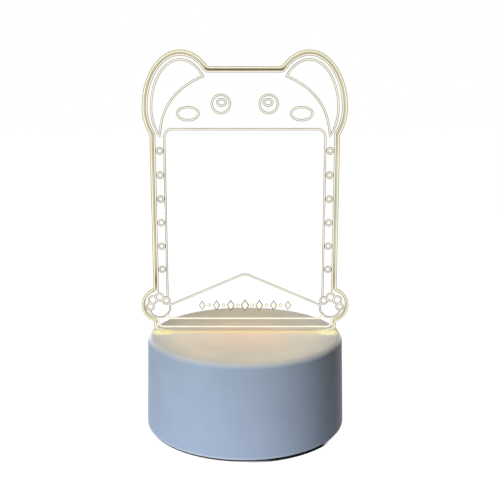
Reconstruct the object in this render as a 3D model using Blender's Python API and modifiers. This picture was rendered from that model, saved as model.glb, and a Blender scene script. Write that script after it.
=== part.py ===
import math

import bmesh
import bpy

# A clear engraved message panel that stands in the slot of a round lamp base, lit from below.
# Metres, +Z up. The front faces -Y, the base's axis is the Z axis, and the table is z = 0.

# Clearances shared by all pieces
SEAT_GAP = 0.0003  # between pieces that touch, and round what passes through a hole
CUT_OVERRUN = 0.0015  # how far a cutter runs past the face that it opens
WELD_DISTANCE = 0.000002
ROD_SEGMENTS = 20
HOLE_SEGMENTS = 12
SMOOTH_TURN = 25.0  # degrees; an outline's corners that turn less are left as they are

# Lamp base housing: a turned shell, open below
BASE_DIAMETER = 0.0882
BASE_HEIGHT = 0.0411  # table to top face
WALL_DRAFT = 0.00115  # how much the radius shrinks from the lower edge to the top
HOUSING_WALL = 0.0022
TOP_PLATE = 0.0024
RIM_RADIUS = 0.0026
LOWER_EDGE_RADIUS = 0.0009
HOUSING_SEGMENTS = 72

# Rubber ring that the base stands on
PAD_THICKNESS = 0.0005
PAD_INSET = 0.0011  # from the housing's widest radius
PAD_WIDTH = 0.0055

# Clear panel: heights are above the base's top face, insets are from the panel's straight side
PANEL_THICKNESS = 0.0040
TAB_DEPTH = 0.0140
TAB_END_GAP = 0.0038  # from the tab's end to the housing's wall
PANEL_SHOULDER = 0.00325  # the straight sides stand this far outside the tab
SHOULDER_RADIUS = 0.0029  # of the round corner above each end of the slot
OUTLINE_FILLET = 0.0014
EDGE_CHAMFER = 0.0005
HEAD_HEIGHT = 0.1152
EAR_ABOVE_HEAD = 0.0068
EAR_OVERHANG = 0.0030  # outside the straight side
EAR_HALF_WIDTH = 0.0165
EAR_RISE = 0.0240
EAR_DROP = 0.0190
PAW_HEIGHT = 0.01255
PAW_OVERHANG = 0.0054
PAW_RADIUS = 0.00805

# Engraved lines: V grooves in the panel's front face
GROOVE_RADIUS = 0.00052
GROOVE_LIFT = 0.0001  # the cutting tube's centre line lies this far before the face
CONTOUR_INSET = 0.0020
CONTOUR_FOOT_HEIGHT = 0.0029
CONTOUR_CORNER = 0.0024
CONTOUR_STOP = 0.0055  # the side line ends this far above the paw's centre
BORDER_INSET = 0.0062
BORDER_BELOW_HEAD = 0.0258
BORDER_CORNER = 0.0032
BORDER_STOP = 0.0041
BORDER_FOOT_HEIGHT = 0.0067
BORDER_FOOT_TURN = 0.0017
FLAP_APEX_HEIGHT = 0.0270
FLAP_APEX_RADIUS = 0.0045
DOT_COUNT = 6
DOT_FIRST_HEIGHT = 0.02885
DOT_BELOW_BORDER = 0.0091  # the last dot, below the border's top line
DOT_RADIUS = 0.0012
EYE_BELOW_HEAD = 0.01535
EYE_RADIUS = 0.0038
EYE_OFFSET_SHARE = 0.249  # of the panel's half width
PUPIL_HALF_WIDTH = 0.00175
PUPIL_HALF_HEIGHT = 0.00135
PUPIL_RISE = 0.00065
PUPIL_SHIFT = 0.00025  # towards the middle
CHEEK_BELOW_HEAD = 0.01935
CHEEK_OFFSET_SHARE = 0.594
CHEEK_HALF_WIDTH = 0.0045
CHEEK_HALF_HEIGHT = 0.0027
INNER_EAR_INSET = 0.0040
INNER_EAR_DROP = 0.0170
INNER_EAR_CORNER = 138.5  # degrees round the ear's centre
INNER_EAR_TIP = -43.0
INNER_EAR_CURVE_SHARES = ((0.677, 0.0), (0.255, 0.398))  # of its half width and its rise
PALM_DROP = 0.00085  # palm's centre below the paw's centre
PALM_RADIUS = 0.0046
PALM_INNER_END = 152.0  # degrees round the palm's centre, 0 towards the panel's side
PALM_OUTER_END = 342.0
PALM_FLAP_JOINT = 167.0
PALM_BORDER_JOINT = 230.0
# Each toe's place sideways and upwards from the paw's centre, and its radius
TOE_SHARES = ((0.515, -0.075, 0.18), (0.379, 0.304, 0.21), (0.006, 0.466, 0.205), (-0.360, 0.280, 0.185))

# Ornament: a row of engraved lozenges and dots between the paws
ORNAMENT_HEIGHT = 0.0126
ORNAMENT_DEPTH = 0.0004
LOZENGE_COUNT = 7
LOZENGE_PITCH = 0.0063
LOZENGE_HALF_WIDTH = 0.0018
LOZENGE_HALF_HEIGHT = 0.0027
LOZENGE_TAPER_SHARE = 0.08  # smaller by this share with each step from the middle
ORNAMENT_DOT_RADIUS = 0.0007

# Panel holder: a channel under the slot, screwed to two bosses
HOLDER_WALL = 0.0018
HOLDER_FLOOR = 0.0018
HOLDER_LEDGE = 0.0018  # length of the block under each end of the tab
LUG_THICKNESS = 0.0020
LUG_HALF_WIDTH = 0.0036
HOLDER_SCREW_X_SHARE = 0.60  # of the tab's half width
HOLDER_SCREW_SETBACK = 0.0051  # from the channel's side
HOLDER_BOSS_RADIUS = 0.0032
HOLDER_BOSS_LENGTH = 0.0056

# LED bar on the holder's floor
LED_BOARD_THICKNESS = 0.0012
LED_COUNT = 8
LED_LENGTH = 0.0035
LED_WIDTH = 0.0028
LED_HEIGHT = 0.0008
LED_PITCH_SHARE = 0.124  # of the bar's length
LED_TO_PANEL = 0.0010
COMPONENT_BEVEL = 0.00015

# Bottom cover, let into the housing flush with its lower edge
COVER_THICKNESS = 0.0024
COVER_BOSS_INSET = 0.0083  # boss centre to the housing's inner wall
COVER_BOSS_RADIUS = 0.0035
COVER_SCREW_ANGLES = (45.0, 135.0, 225.0, 315.0)
COUNTERBORE_DEPTH = 0.0014

# Screws
COVER_SCREW = {"head_radius": 0.0024, "head_height": 0.0010, "shank_radius": 0.0010, "length": 0.0085}
HOLDER_SCREW = {"head_radius": 0.0021, "head_height": 0.0010, "shank_radius": 0.0009, "length": 0.0068}
BOARD_SCREW = {"head_radius": 0.0017, "head_height": 0.0009, "shank_radius": 0.0007, "length": 0.0045}
SCREW_TIP_SHARE = 0.18  # of the shank's length
SCREW_CHAMFER_SHARE = 0.35  # of the head's height
SCREW_SEGMENTS = 12
PILOT_SPARE = 0.0012  # the pilot hole runs this far past the screw's tip

# Rear pocket and the control board behind it
POCKET_DEPTH = 0.0024
POCKET_WIDTH = 0.0240
POCKET_HEIGHT = 0.0104
POCKET_CORNER = 0.0020
PORT_WALL = 0.0024
PORT_WALL_MARGIN = 0.0030  # the thickened wall runs this far past the pocket
BOARD_THICKNESS = 0.0012
BOARD_DEPTH = 0.0180
BOARD_REAR_GAP = 0.0011
BOARD_SIDE_GAP = 0.0048  # to the cover's bosses
STANDOFF_HEIGHT = 0.0058
STANDOFF_RADIUS = 0.0026
STANDOFF_X_SHARE = 0.80  # of the board's half width
STANDOFF_Y_SHARE = 0.28  # of the board's depth, from its front edge
USB_X_SHARE = -0.34
USB_WIDTH = 0.00894
USB_HEIGHT = 0.00326
USB_LENGTH = 0.0073
USB_SKIN = 0.00035
USB_SETBACK = 0.0003  # mouth behind the pocket's floor
USB_BLOCK_LENGTH = 0.0020
USB_TONGUE_WIDTH = 0.0066
USB_TONGUE_THICKNESS = 0.0007
USB_TONGUE_LENGTH = 0.0042
RESISTOR_LENGTH = 0.0032
RESISTOR_WIDTH = 0.0016
RESISTOR_HEIGHT = 0.0006
RESISTOR_X_SHARES = (-0.16, 0.16)
RESISTOR_Y_SHARE = 0.45

# Power button and its switch
BUTTON_X_SHARE = 0.53
BUTTON_RADIUS = 0.0023
BUTTON_PROUD = 0.0012
BUTTON_EDGE = 0.0004
BUTTON_FLANGE = 0.0007  # flange radius beyond the cap, and its thickness
BUTTON_SEGMENTS = 24
BUTTON_TRAVEL = 0.0010
SWITCH_SIZE = 0.0060
SWITCH_CLEARANCE = 0.0006  # left to the flange when the button is pressed
PLUNGER_RADIUS = 0.0012
PLUNGER_INSERTION = 0.0025
PLUNGER_SEGMENTS = 16

# Wires from the board up to the LED bar
WIRE_RADIUS = 0.00065
WIRE_PITCH = 0.0030
WIRE_START_X_SHARE = 0.42
WIRE_START_Y_SHARE = 0.12
WIRE_END_SHARE = 0.94  # of the LED bar's half length
WIRE_RISE = 0.0035
WIRE_RUN_DROP = 0.0026  # below the holder's floor
WIRE_TURN = 0.0013
WIRE_RUN_SHARES = (0.14, 0.5, 0.86)
WIRE_STEPS = 3

# Heights and radii that several pieces share
HOUSING_RADIUS = BASE_DIAMETER / 2
HOUSING_BOTTOM = PAD_THICKNESS + SEAT_GAP
CEILING = BASE_HEIGHT - TOP_PLATE
COVER_TOP = HOUSING_BOTTOM + COVER_THICKNESS


def wall_radius(height):
    """Outer radius of the drafted wall at a height."""
    share = (height - HOUSING_BOTTOM) / (BASE_HEIGHT - HOUSING_BOTTOM)
    return HOUSING_RADIUS - WALL_DRAFT * share


def cavity_radius(height):
    return wall_radius(height) - HOUSING_WALL


# The panel and what holds it
TAB_HALF = cavity_radius(CEILING) - TAB_END_GAP
PANEL_HALF = TAB_HALF + PANEL_SHOULDER
EAR_CENTRE = (PANEL_HALF + EAR_OVERHANG - EAR_HALF_WIDTH, HEAD_HEIGHT + EAR_ABOVE_HEAD - EAR_RISE)
PAW_CENTRE = (PANEL_HALF + PAW_OVERHANG - PAW_RADIUS, PAW_HEIGHT)
PALM_CENTRE = (PAW_CENTRE[0], PAW_HEIGHT - PALM_DROP)
CONTOUR_X = PANEL_HALF - CONTOUR_INSET
BORDER_X = PANEL_HALF - BORDER_INSET
BORDER_TOP = HEAD_HEIGHT - BORDER_BELOW_HEAD
DOT_PITCH = (BORDER_TOP - DOT_BELOW_BORDER - DOT_FIRST_HEIGHT) / (DOT_COUNT - 1)
PANEL_FOOT = BASE_HEIGHT - TAB_DEPTH
SLOT_HALF_LENGTH = TAB_HALF + SEAT_GAP
SLOT_HALF_WIDTH = PANEL_THICKNESS / 2 + SEAT_GAP
LED_BOTTOM = PANEL_FOOT - LED_TO_PANEL - LED_HEIGHT
LED_BOARD_TOP = LED_BOTTOM - SEAT_GAP
LED_BOARD_BOTTOM = LED_BOARD_TOP - LED_BOARD_THICKNESS
LED_BAR_HALF = SLOT_HALF_LENGTH - HOLDER_LEDGE - SEAT_GAP
HOLDER_FLOOR_TOP = LED_BOARD_BOTTOM - SEAT_GAP
HOLDER_BOTTOM = HOLDER_FLOOR_TOP - HOLDER_FLOOR
HOLDER_SIDE = SLOT_HALF_WIDTH + HOLDER_WALL
HOLDER_BOSS_BOTTOM = CEILING - HOLDER_BOSS_LENGTH
LUG_TOP = HOLDER_BOSS_BOTTOM - SEAT_GAP
LUG_BOTTOM = LUG_TOP - LUG_THICKNESS
HOLDER_SCREW_X = TAB_HALF * HOLDER_SCREW_X_SHARE
HOLDER_SCREW_Y = HOLDER_SIDE + HOLDER_SCREW_SETBACK
HOLDER_SCREW_PLACES = ((HOLDER_SCREW_X, HOLDER_SCREW_Y), (-HOLDER_SCREW_X, -HOLDER_SCREW_Y))

# The board, the rear pocket and the button
COVER_BOSS_CIRCLE = cavity_radius(COVER_TOP) - COVER_BOSS_INSET
BOARD_BOTTOM = COVER_TOP + STANDOFF_HEIGHT + SEAT_GAP
BOARD_TOP = BOARD_BOTTOM + BOARD_THICKNESS
BOARD_SEAT = BOARD_TOP + SEAT_GAP
PORT_HEIGHT = BOARD_SEAT + USB_HEIGHT / 2
BUTTON_HEIGHT = BOARD_SEAT + SWITCH_SIZE / 2
POCKET_MIDDLE = (PORT_HEIGHT + BUTTON_HEIGHT) / 2
POCKET_FLOOR = wall_radius(POCKET_MIDDLE) - POCKET_DEPTH
PORT_INNER = POCKET_FLOOR - PORT_WALL
BOARD_REAR = PORT_INNER - BOARD_REAR_GAP
BOARD_FRONT = BOARD_REAR - BOARD_DEPTH
BOARD_HALF = COVER_BOSS_CIRCLE * math.sqrt(0.5) - COVER_BOSS_RADIUS - BOARD_SIDE_GAP
STANDOFF_X = BOARD_HALF * STANDOFF_X_SHARE
STANDOFF_Y = BOARD_FRONT + BOARD_DEPTH * STANDOFF_Y_SHARE
STANDOFF_PLACES = ((STANDOFF_X, STANDOFF_Y), (-STANDOFF_X, STANDOFF_Y))
USB_X = BOARD_HALF * USB_X_SHARE
USB_MOUTH = POCKET_FLOOR - USB_SETBACK
USB_BACK = USB_MOUTH - USB_LENGTH
BUTTON_X = BOARD_HALF * BUTTON_X_SHARE
BUTTON_BACK = PORT_INNER - SEAT_GAP - BUTTON_FLANGE
SWITCH_REAR = BUTTON_BACK - BUTTON_TRAVEL - SWITCH_CLEARANCE
PLUNGER_FRONT = SWITCH_REAR - PLUNGER_INSERTION

# Turns of flat outlines and rods that lie in the XY plane or along Z
FACING_FRONT = (math.radians(90), 0, 0)
FACING_REAR = (math.radians(-90), 0, 0)
UPSIDE_DOWN = (math.radians(180), 0, 0)


def clear_scene():
    for obj in list(bpy.data.objects):
        bpy.data.objects.remove(obj)


def new_collection(name):
    collection = bpy.data.collections.new(name)
    bpy.context.scene.collection.children.link(collection)
    return collection


def new_material(name, colour, roughness, metallic=0.0, transmission=0.0):
    material = bpy.data.materials.new(name)
    material.use_nodes = True
    shader = material.node_tree.nodes["Principled BSDF"]
    shader.inputs["Base Color"].default_value = (*colour, 1.0)
    shader.inputs["Roughness"].default_value = roughness
    shader.inputs["Metallic"].default_value = metallic
    shader.inputs["Transmission Weight"].default_value = transmission
    material.diffuse_color = (*colour, 1.0)
    return material


def new_empty(name, location):
    empty = bpy.data.objects.new(name, None)
    empty.location = location
    PARTS.objects.link(empty)
    return empty


clear_scene()
PARTS = new_collection("led_writing_board")
CUTTERS = new_collection("cutters")
ENGRAVING = new_collection("engraving_cutters")
BASE = new_empty("base_origin", (0, 0, 0))
PANEL_SLIDE = new_empty("panel_slide", (0, 0, BASE_HEIGHT))
BUTTON_SLIDE = new_empty("button_slide", (BUTTON_X, BUTTON_BACK, BUTTON_HEIGHT))
MATERIALS = {
    "white_abs": new_material("white_abs", (0.72, 0.74, 0.78), 0.55),
    "acrylic": new_material("acrylic", (0.98, 0.99, 0.98), 0.03, transmission=1.0),
    "circuit_board": new_material("circuit_board", (0.85, 0.86, 0.84), 0.45),
    "led": new_material("led", (0.95, 0.80, 0.35), 0.35),
    "steel": new_material("steel", (0.62, 0.62, 0.60), 0.35, metallic=1.0),
    "black_plastic": new_material("black_plastic", (0.03, 0.03, 0.03), 0.5),
    "rubber": new_material("rubber", (0.12, 0.12, 0.12), 0.85),
    "red_sleeve": new_material("red_sleeve", (0.60, 0.03, 0.03), 0.45),
    "black_sleeve": new_material("black_sleeve", (0.03, 0.03, 0.03), 0.45),
}


def place(name, mesh, material=None, parent=BASE, location=(0, 0, 0), rotation=(0, 0, 0), group=None):
    """Links a mesh as a part, or as a cutter when it has no material."""
    obj = bpy.data.objects.new(name, mesh)
    obj.location = location
    obj.rotation_euler = rotation
    obj.parent = parent
    if material:
        if not mesh.materials:
            mesh.materials.append(MATERIALS[material])
        PARTS.objects.link(obj)
    else:
        obj.display_type = "WIRE"
        obj.hide_render = True
        (group or CUTTERS).objects.link(obj)
    return obj


def finished(mesh):
    """Shades the mesh's round faces smooth and keeps its edges sharp."""
    mesh.shade_smooth()
    mesh.set_sharp_from_angle(angle=math.radians(35))
    return mesh


def mesh_from(name, bm):
    mesh = bpy.data.meshes.new(name)
    bm.to_mesh(mesh)
    bm.free()
    return finished(mesh)


def evaluated_mesh(name, source, modify=None):
    """The closed mesh of a curve, or of a profile with a modifier, its seams welded."""
    holder = bpy.data.objects.new(name, source)
    bpy.context.scene.collection.objects.link(holder)
    if modify:
        modify(holder)
    graph = bpy.context.evaluated_depsgraph_get()
    mesh = bpy.data.meshes.new_from_object(holder.evaluated_get(graph))
    bpy.data.objects.remove(holder)
    bm = bmesh.new()
    bm.from_mesh(mesh)
    bmesh.ops.remove_doubles(bm, verts=bm.verts, dist=WELD_DISTANCE)
    bmesh.ops.recalc_face_normals(bm, faces=bm.faces)
    bm.to_mesh(mesh)
    bm.free()
    mesh.name = name
    return finished(mesh)


def box_mesh(name, size):
    bm = bmesh.new()
    bmesh.ops.create_cube(bm, size=1)
    bmesh.ops.scale(bm, vec=size, verts=bm.verts)
    return mesh_from(name, bm)


def box(name, low, high, **placing):
    """A box between two corners, with its origin at its centre."""
    mesh = box_mesh(name, [b - a for a, b in zip(low, high)])
    return place(name, mesh, location=[(a + b) / 2 for a, b in zip(low, high)], **placing)


def rod_mesh(name, radius, length, segments):
    bm = bmesh.new()
    bmesh.ops.create_cone(
        bm, cap_ends=True, segments=segments, radius1=radius, radius2=radius, depth=length
    )
    return mesh_from(name, bm)


def upright_rod(name, radius, bottom, top, at=(0, 0), segments=ROD_SEGMENTS, **placing):
    mesh = rod_mesh(name, radius, top - bottom, segments)
    return place(name, mesh, location=(*at, (bottom + top) / 2), **placing)


def turned_mesh(name, profile, segments):
    """A profile of (radius, height) points, down its outer side from top to bottom, turned about Z."""

    def turn(obj):
        screw = obj.modifiers.new("turned", "SCREW")
        screw.steps = segments
        screw.render_steps = segments
        screw.use_merge_vertices = True
        screw.merge_threshold = WELD_DISTANCE

    mesh = bpy.data.meshes.new(name)
    edges = [(index, index + 1) for index in range(len(profile) - 1)]
    mesh.from_pydata([(radius, 0, height) for radius, height in profile], edges, [])
    return evaluated_mesh(name, mesh, turn)


def add_spline(curve, points, closed):
    spline = curve.splines.new("POLY")
    spline.points.add(len(points) - 1)
    for control, point in zip(spline.points, points):
        control.co = (*point, 1)
    spline.use_cyclic_u = closed


def slab_mesh(name, outline, thickness, chamfer=0.0):
    """A flat outline in the XY plane, given a thickness along Z and chamfered edges."""
    curve = bpy.data.curves.new(name, "CURVE")
    curve.dimensions = "2D"
    curve.fill_mode = "BOTH"
    curve.extrude = thickness / 2 - chamfer
    curve.bevel_depth = chamfer
    curve.bevel_resolution = 0
    curve.offset = -chamfer
    add_spline(curve, [(x, y, 0) for x, y in outline], closed=True)
    return evaluated_mesh(name, curve)


def tube_mesh(name, points, radius, resolution, closed=False):
    curve = bpy.data.curves.new(name, "CURVE")
    curve.dimensions = "3D"
    curve.bevel_depth = radius
    curve.bevel_resolution = resolution
    curve.use_fill_caps = True
    add_spline(curve, points, closed)
    return evaluated_mesh(name, curve)


def cut(target, cutter, operation="DIFFERENCE"):
    modifier = target.modifiers.new(cutter.name, "BOOLEAN")
    modifier.operation = operation
    modifier.object = cutter


def soften_edges(obj, width):
    bevel = obj.modifiers.new("softened_edges", "BEVEL")
    bevel.width = width
    bevel.segments = 1


def on_circle(centre, radius, degrees):
    angle = math.radians(degrees)
    return (centre[0] + radius * math.cos(angle), centre[1] + radius * math.sin(angle))


def arc(centre, half_width, half_height, start, end, steps):
    """Points of an ellipse's arc, from a start angle to an end angle in degrees."""
    angles = [math.radians(start + (end - start) * step / steps) for step in range(steps + 1)]
    return [
        (centre[0] + half_width * math.cos(angle), centre[1] + half_height * math.sin(angle))
        for angle in angles
    ]


def ring(centre, half_width, half_height, steps):
    return arc(centre, half_width, half_height, 0, 360, steps)[:-1]


def egg_arc(centre, half_width, rise, drop, start, end, steps):
    """An arc with one height above its centre and another below it."""
    points = arc(centre, half_width, rise, start, end, steps)
    return [(x, y if y > centre[1] else centre[1] + (y - centre[1]) * drop / rise) for x, y in points]


def bezier(start, pull, push, end, steps):
    """Points of a cubic curve between two ends, without the ends."""
    points = []
    for step in range(1, steps):
        t = step / steps
        weights = ((1 - t) ** 3, 3 * t * (1 - t) ** 2, 3 * t * t * (1 - t), t**3)
        x, y = (sum(w * p[axis] for w, p in zip(weights, (start, pull, push, end))) for axis in (0, 1))
        points.append((x, y))
    return points


def rounded_corner(before, point, after, radius, steps):
    """An arc of the radius that joins the two lines at a point, or the point where they hardly turn."""
    back = math.atan2(before[1] - point[1], before[0] - point[0])
    ahead = math.atan2(after[1] - point[1], after[0] - point[0])
    between = (ahead - back + math.pi) % math.tau - math.pi
    turn = math.pi - abs(between)
    if math.degrees(turn) < SMOOTH_TURN:
        return [point]
    room = min(math.dist(before, point), math.dist(point, after)) / 2
    reach = min(radius * math.tan(turn / 2), room)
    true_radius = reach / math.tan(turn / 2)
    bisector = back + between / 2
    centre = on_circle(point, true_radius / math.cos(turn / 2), math.degrees(bisector))
    first = math.degrees(bisector) + 180 + math.degrees(math.copysign(turn / 2, between))
    sweep = math.degrees(math.copysign(turn, between))
    return arc(centre, true_radius, true_radius, first, first - sweep, steps)


def rounded(points, radius, closed=True, steps=4):
    """The polyline with an arc in place of each corner."""
    result = []
    for index, point in enumerate(points):
        if not closed and index in (0, len(points) - 1):
            result.append(point)
        else:
            after = points[(index + 1) % len(points)]
            result += rounded_corner(points[index - 1], point, after, radius, steps)
    return result


def rectangle(half_width, half_height, corner):
    points = [
        (half_width, half_height),
        (-half_width, half_height),
        (-half_width, -half_height),
        (half_width, -half_height),
    ]
    return rounded(points, corner)


def mirrored(points):
    return [(-x, y) for x, y in reversed(points)]


def smooth_path(points, steps):
    """A Catmull-Rom curve through the points."""
    padded = [points[0], *points, points[-1]]
    path = []
    for index in range(len(points) - 1):
        for step in range(steps):
            t = step / steps
            weights = (
                (2 * t**2 - t**3 - t) / 2,
                (3 * t**3 - 5 * t**2 + 2) / 2,
                (4 * t**2 - 3 * t**3 + t) / 2,
                (t**3 - t**2) / 2,
            )
            near = padded[index : index + 4]
            path.append(tuple(sum(w * p[axis] for w, p in zip(weights, near)) for axis in range(3)))
    return [*path, points[-1]]


def panel_side(inset, steps):
    """The right side, from the head's top line over the ear to the straight side, inside the cut edge."""
    half_width, rise, drop = EAR_HALF_WIDTH - inset, EAR_RISE - inset, EAR_DROP - inset
    head = 180 - math.degrees(math.asin((rise - EAR_ABOVE_HEAD) / rise))
    side = -math.degrees(math.acos((PANEL_HALF - inset - EAR_CENTRE[0]) / half_width))
    return egg_arc(EAR_CENTRE, half_width, rise, drop, head, side, steps)


def panel_outline():
    """The cut outline in the panel's plane. Its origin is at the base's top face."""
    upper = math.degrees(math.acos((PAW_RADIUS - PAW_OVERHANG) / PAW_RADIUS))
    paw = arc(PAW_CENTRE, PAW_RADIUS, PAW_RADIUS, upper, -upper, 16)
    radius = min(SHOULDER_RADIUS, PANEL_SHOULDER)
    shoulder = arc((PANEL_HALF - radius, SEAT_GAP + radius), radius, radius, 0, -90, 6)
    tab = [(TAB_HALF, SEAT_GAP), (TAB_HALF, -TAB_DEPTH)]
    right = panel_side(0, 26) + paw + shoulder + tab
    return rounded(right + mirrored(right), OUTLINE_FILLET)


def groove(name, points, closed):
    level = PANEL_THICKNESS / 2 + GROOVE_LIFT
    mesh = tube_mesh(name, [(x, y, level) for x, y in points], GROOVE_RADIUS, 0, closed)
    place(name, mesh, parent=PANEL_SLIDE, rotation=FACING_FRONT, group=ENGRAVING)


def groove_pair(name, points, closed):
    groove(f"{name}_right", points, closed)
    groove(f"{name}_left", mirrored(points), closed)


def engrave_frame():
    """The lines that follow the cut edge and frame the writing area. They stop at the paws."""
    side = panel_side(CONTOUR_INSET, 24) + [(CONTOUR_X, PAW_HEIGHT + CONTOUR_STOP)]
    groove("contour", rounded(mirrored(side) + side, OUTLINE_FILLET, closed=False), closed=False)
    palm_sag = math.sqrt(PALM_RADIUS**2 - (CONTOUR_X - PALM_CENTRE[0]) ** 2)
    foot = [(CONTOUR_X, CONTOUR_FOOT_HEIGHT), (CONTOUR_X, PALM_CENTRE[1] - palm_sag)]
    groove("contour_foot", rounded(mirrored(foot) + foot, CONTOUR_CORNER, closed=False), closed=False)
    border = [(BORDER_X, BORDER_TOP), (BORDER_X, PAW_HEIGHT + BORDER_STOP)]
    groove("border", rounded(mirrored(border) + border, BORDER_CORNER, closed=False), closed=False)
    joint = on_circle(PALM_CENTRE, PALM_RADIUS, PALM_BORDER_JOINT)
    foot = [(joint[0] - BORDER_FOOT_TURN, BORDER_FOOT_HEIGHT), joint]
    groove("border_foot", mirrored(foot) + foot, closed=False)
    joint = on_circle(PALM_CENTRE, PALM_RADIUS, PALM_FLAP_JOINT)
    flap = [*mirrored([joint]), (0, FLAP_APEX_HEIGHT), joint]
    groove("flap", rounded(flap, FLAP_APEX_RADIUS, closed=False), closed=False)


def engrave_face():
    eye = (PANEL_HALF * EYE_OFFSET_SHARE, HEAD_HEIGHT - EYE_BELOW_HEAD)
    groove_pair("eye", ring(eye, EYE_RADIUS, EYE_RADIUS, 24), closed=True)
    pupil = (eye[0] - PUPIL_SHIFT, eye[1] + PUPIL_RISE)
    groove_pair("pupil", ring(pupil, PUPIL_HALF_WIDTH, PUPIL_HALF_HEIGHT, 14), closed=True)
    cheek = (PANEL_HALF * CHEEK_OFFSET_SHARE, HEAD_HEIGHT - CHEEK_BELOW_HEAD)
    groove_pair("cheek", ring(cheek, CHEEK_HALF_WIDTH, CHEEK_HALF_HEIGHT, 20), closed=True)
    half_width, rise = EAR_HALF_WIDTH - INNER_EAR_INSET, EAR_RISE - INNER_EAR_INSET
    outer = egg_arc(EAR_CENTRE, half_width, rise, INNER_EAR_DROP, INNER_EAR_CORNER, INNER_EAR_TIP, 22)
    pulls = [
        (EAR_CENTRE[0] + half_width * x_share, EAR_CENTRE[1] + rise * y_share)
        for x_share, y_share in INNER_EAR_CURVE_SHARES
    ]
    groove_pair("inner_ear", outer + bezier(outer[-1], *pulls, outer[0], 12), closed=True)


def engrave_paws():
    palm = arc(PALM_CENTRE, PALM_RADIUS, PALM_RADIUS, PALM_INNER_END, PALM_OUTER_END, 16)
    groove_pair("palm", palm, closed=False)
    for number, (x_share, y_share, radius_share) in enumerate(TOE_SHARES, 1):
        toe = (PAW_CENTRE[0] + PAW_RADIUS * x_share, PAW_CENTRE[1] + PAW_RADIUS * y_share)
        radius = PAW_RADIUS * radius_share
        groove_pair(f"toe_{number}", ring(toe, radius, radius, 10), closed=True)


def engrave_dots():
    dot_x = (CONTOUR_X + BORDER_X) / 2
    for number in range(DOT_COUNT):
        centre = (dot_x, DOT_FIRST_HEIGHT + number * DOT_PITCH)
        groove_pair(f"dot_{number + 1}", ring(centre, DOT_RADIUS, DOT_RADIUS, 10), closed=True)


def sink(name, outline):
    """A flat-bottomed engraved shape."""
    mesh = slab_mesh(name, outline, 2 * ORNAMENT_DEPTH)
    front = (0, -PANEL_THICKNESS / 2, 0)
    place(name, mesh, parent=PANEL_SLIDE, location=front, rotation=FACING_FRONT, group=ENGRAVING)


def engrave_ornament():
    middle = (LOZENGE_COUNT - 1) / 2
    for number in range(LOZENGE_COUNT):
        centre = ((number - middle) * LOZENGE_PITCH, ORNAMENT_HEIGHT)
        size = 1 - LOZENGE_TAPER_SHARE * abs(number - middle)
        sink(f"lozenge_{number + 1}", ring(centre, LOZENGE_HALF_WIDTH * size, LOZENGE_HALF_HEIGHT * size, 4))
    for number in range(LOZENGE_COUNT - 1):
        centre = ((number + 0.5 - middle) * LOZENGE_PITCH, ORNAMENT_HEIGHT)
        sink(f"ornament_dot_{number + 1}", ring(centre, ORNAMENT_DOT_RADIUS, ORNAMENT_DOT_RADIUS, 8))


def acrylic_panel():
    mesh = slab_mesh("acrylic_panel", panel_outline(), PANEL_THICKNESS, EDGE_CHAMFER)
    panel = place("acrylic_panel", mesh, "acrylic", parent=PANEL_SLIDE, rotation=FACING_FRONT)
    engrave_frame()
    engrave_face()
    engrave_paws()
    engrave_dots()
    engrave_ornament()
    engraving = panel.modifiers.new("engraving", "BOOLEAN")
    engraving.operand_type = "COLLECTION"
    engraving.collection = ENGRAVING


def cover_places():
    return [on_circle((0, 0), COVER_BOSS_CIRCLE, angle) for angle in COVER_SCREW_ANGLES]


def pilot_end(sizes, bearing):
    """Height where the pilot hole of a screw that is driven upwards ends."""
    return bearing + sizes["length"] + PILOT_SPARE


def housing_cavity():
    """The hollow inside the housing. It leaves out the bosses and the wall behind the ports."""
    low = HOUSING_BOTTOM - CUT_OVERRUN
    profile = [(0, CEILING), (cavity_radius(CEILING), CEILING), (cavity_radius(low), low), (0, low)]
    cavity = place("housing_cavity", turned_mesh("housing_cavity", profile, HOUSING_SEGMENTS))
    top = CEILING + CUT_OVERRUN
    for number, at in enumerate(cover_places(), 1):
        cut(cavity, upright_rod(f"cover_boss_{number}", COVER_BOSS_RADIUS, COVER_TOP + SEAT_GAP, top, at))
    for number, at in enumerate(HOLDER_SCREW_PLACES, 1):
        cut(cavity, upright_rod(f"holder_boss_{number}", HOLDER_BOSS_RADIUS, HOLDER_BOSS_BOTTOM, top, at))
    half = POCKET_WIDTH / 2 + PORT_WALL_MARGIN
    rise = POCKET_HEIGHT / 2 + PORT_WALL_MARGIN
    low = (-half, PORT_INNER, POCKET_MIDDLE - rise)
    high = (half, HOUSING_RADIUS + CUT_OVERRUN, POCKET_MIDDLE + rise)
    cut(cavity, box("port_wall", low, high))
    return cavity


def rear_cutter(name, outline, front, rear, at):
    """A flat outline in the XZ plane, run along Y between two places."""
    mesh = slab_mesh(name, outline, rear - front)
    return place(name, mesh, location=(at[0], (front + rear) / 2, at[1]), rotation=FACING_FRONT)


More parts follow.
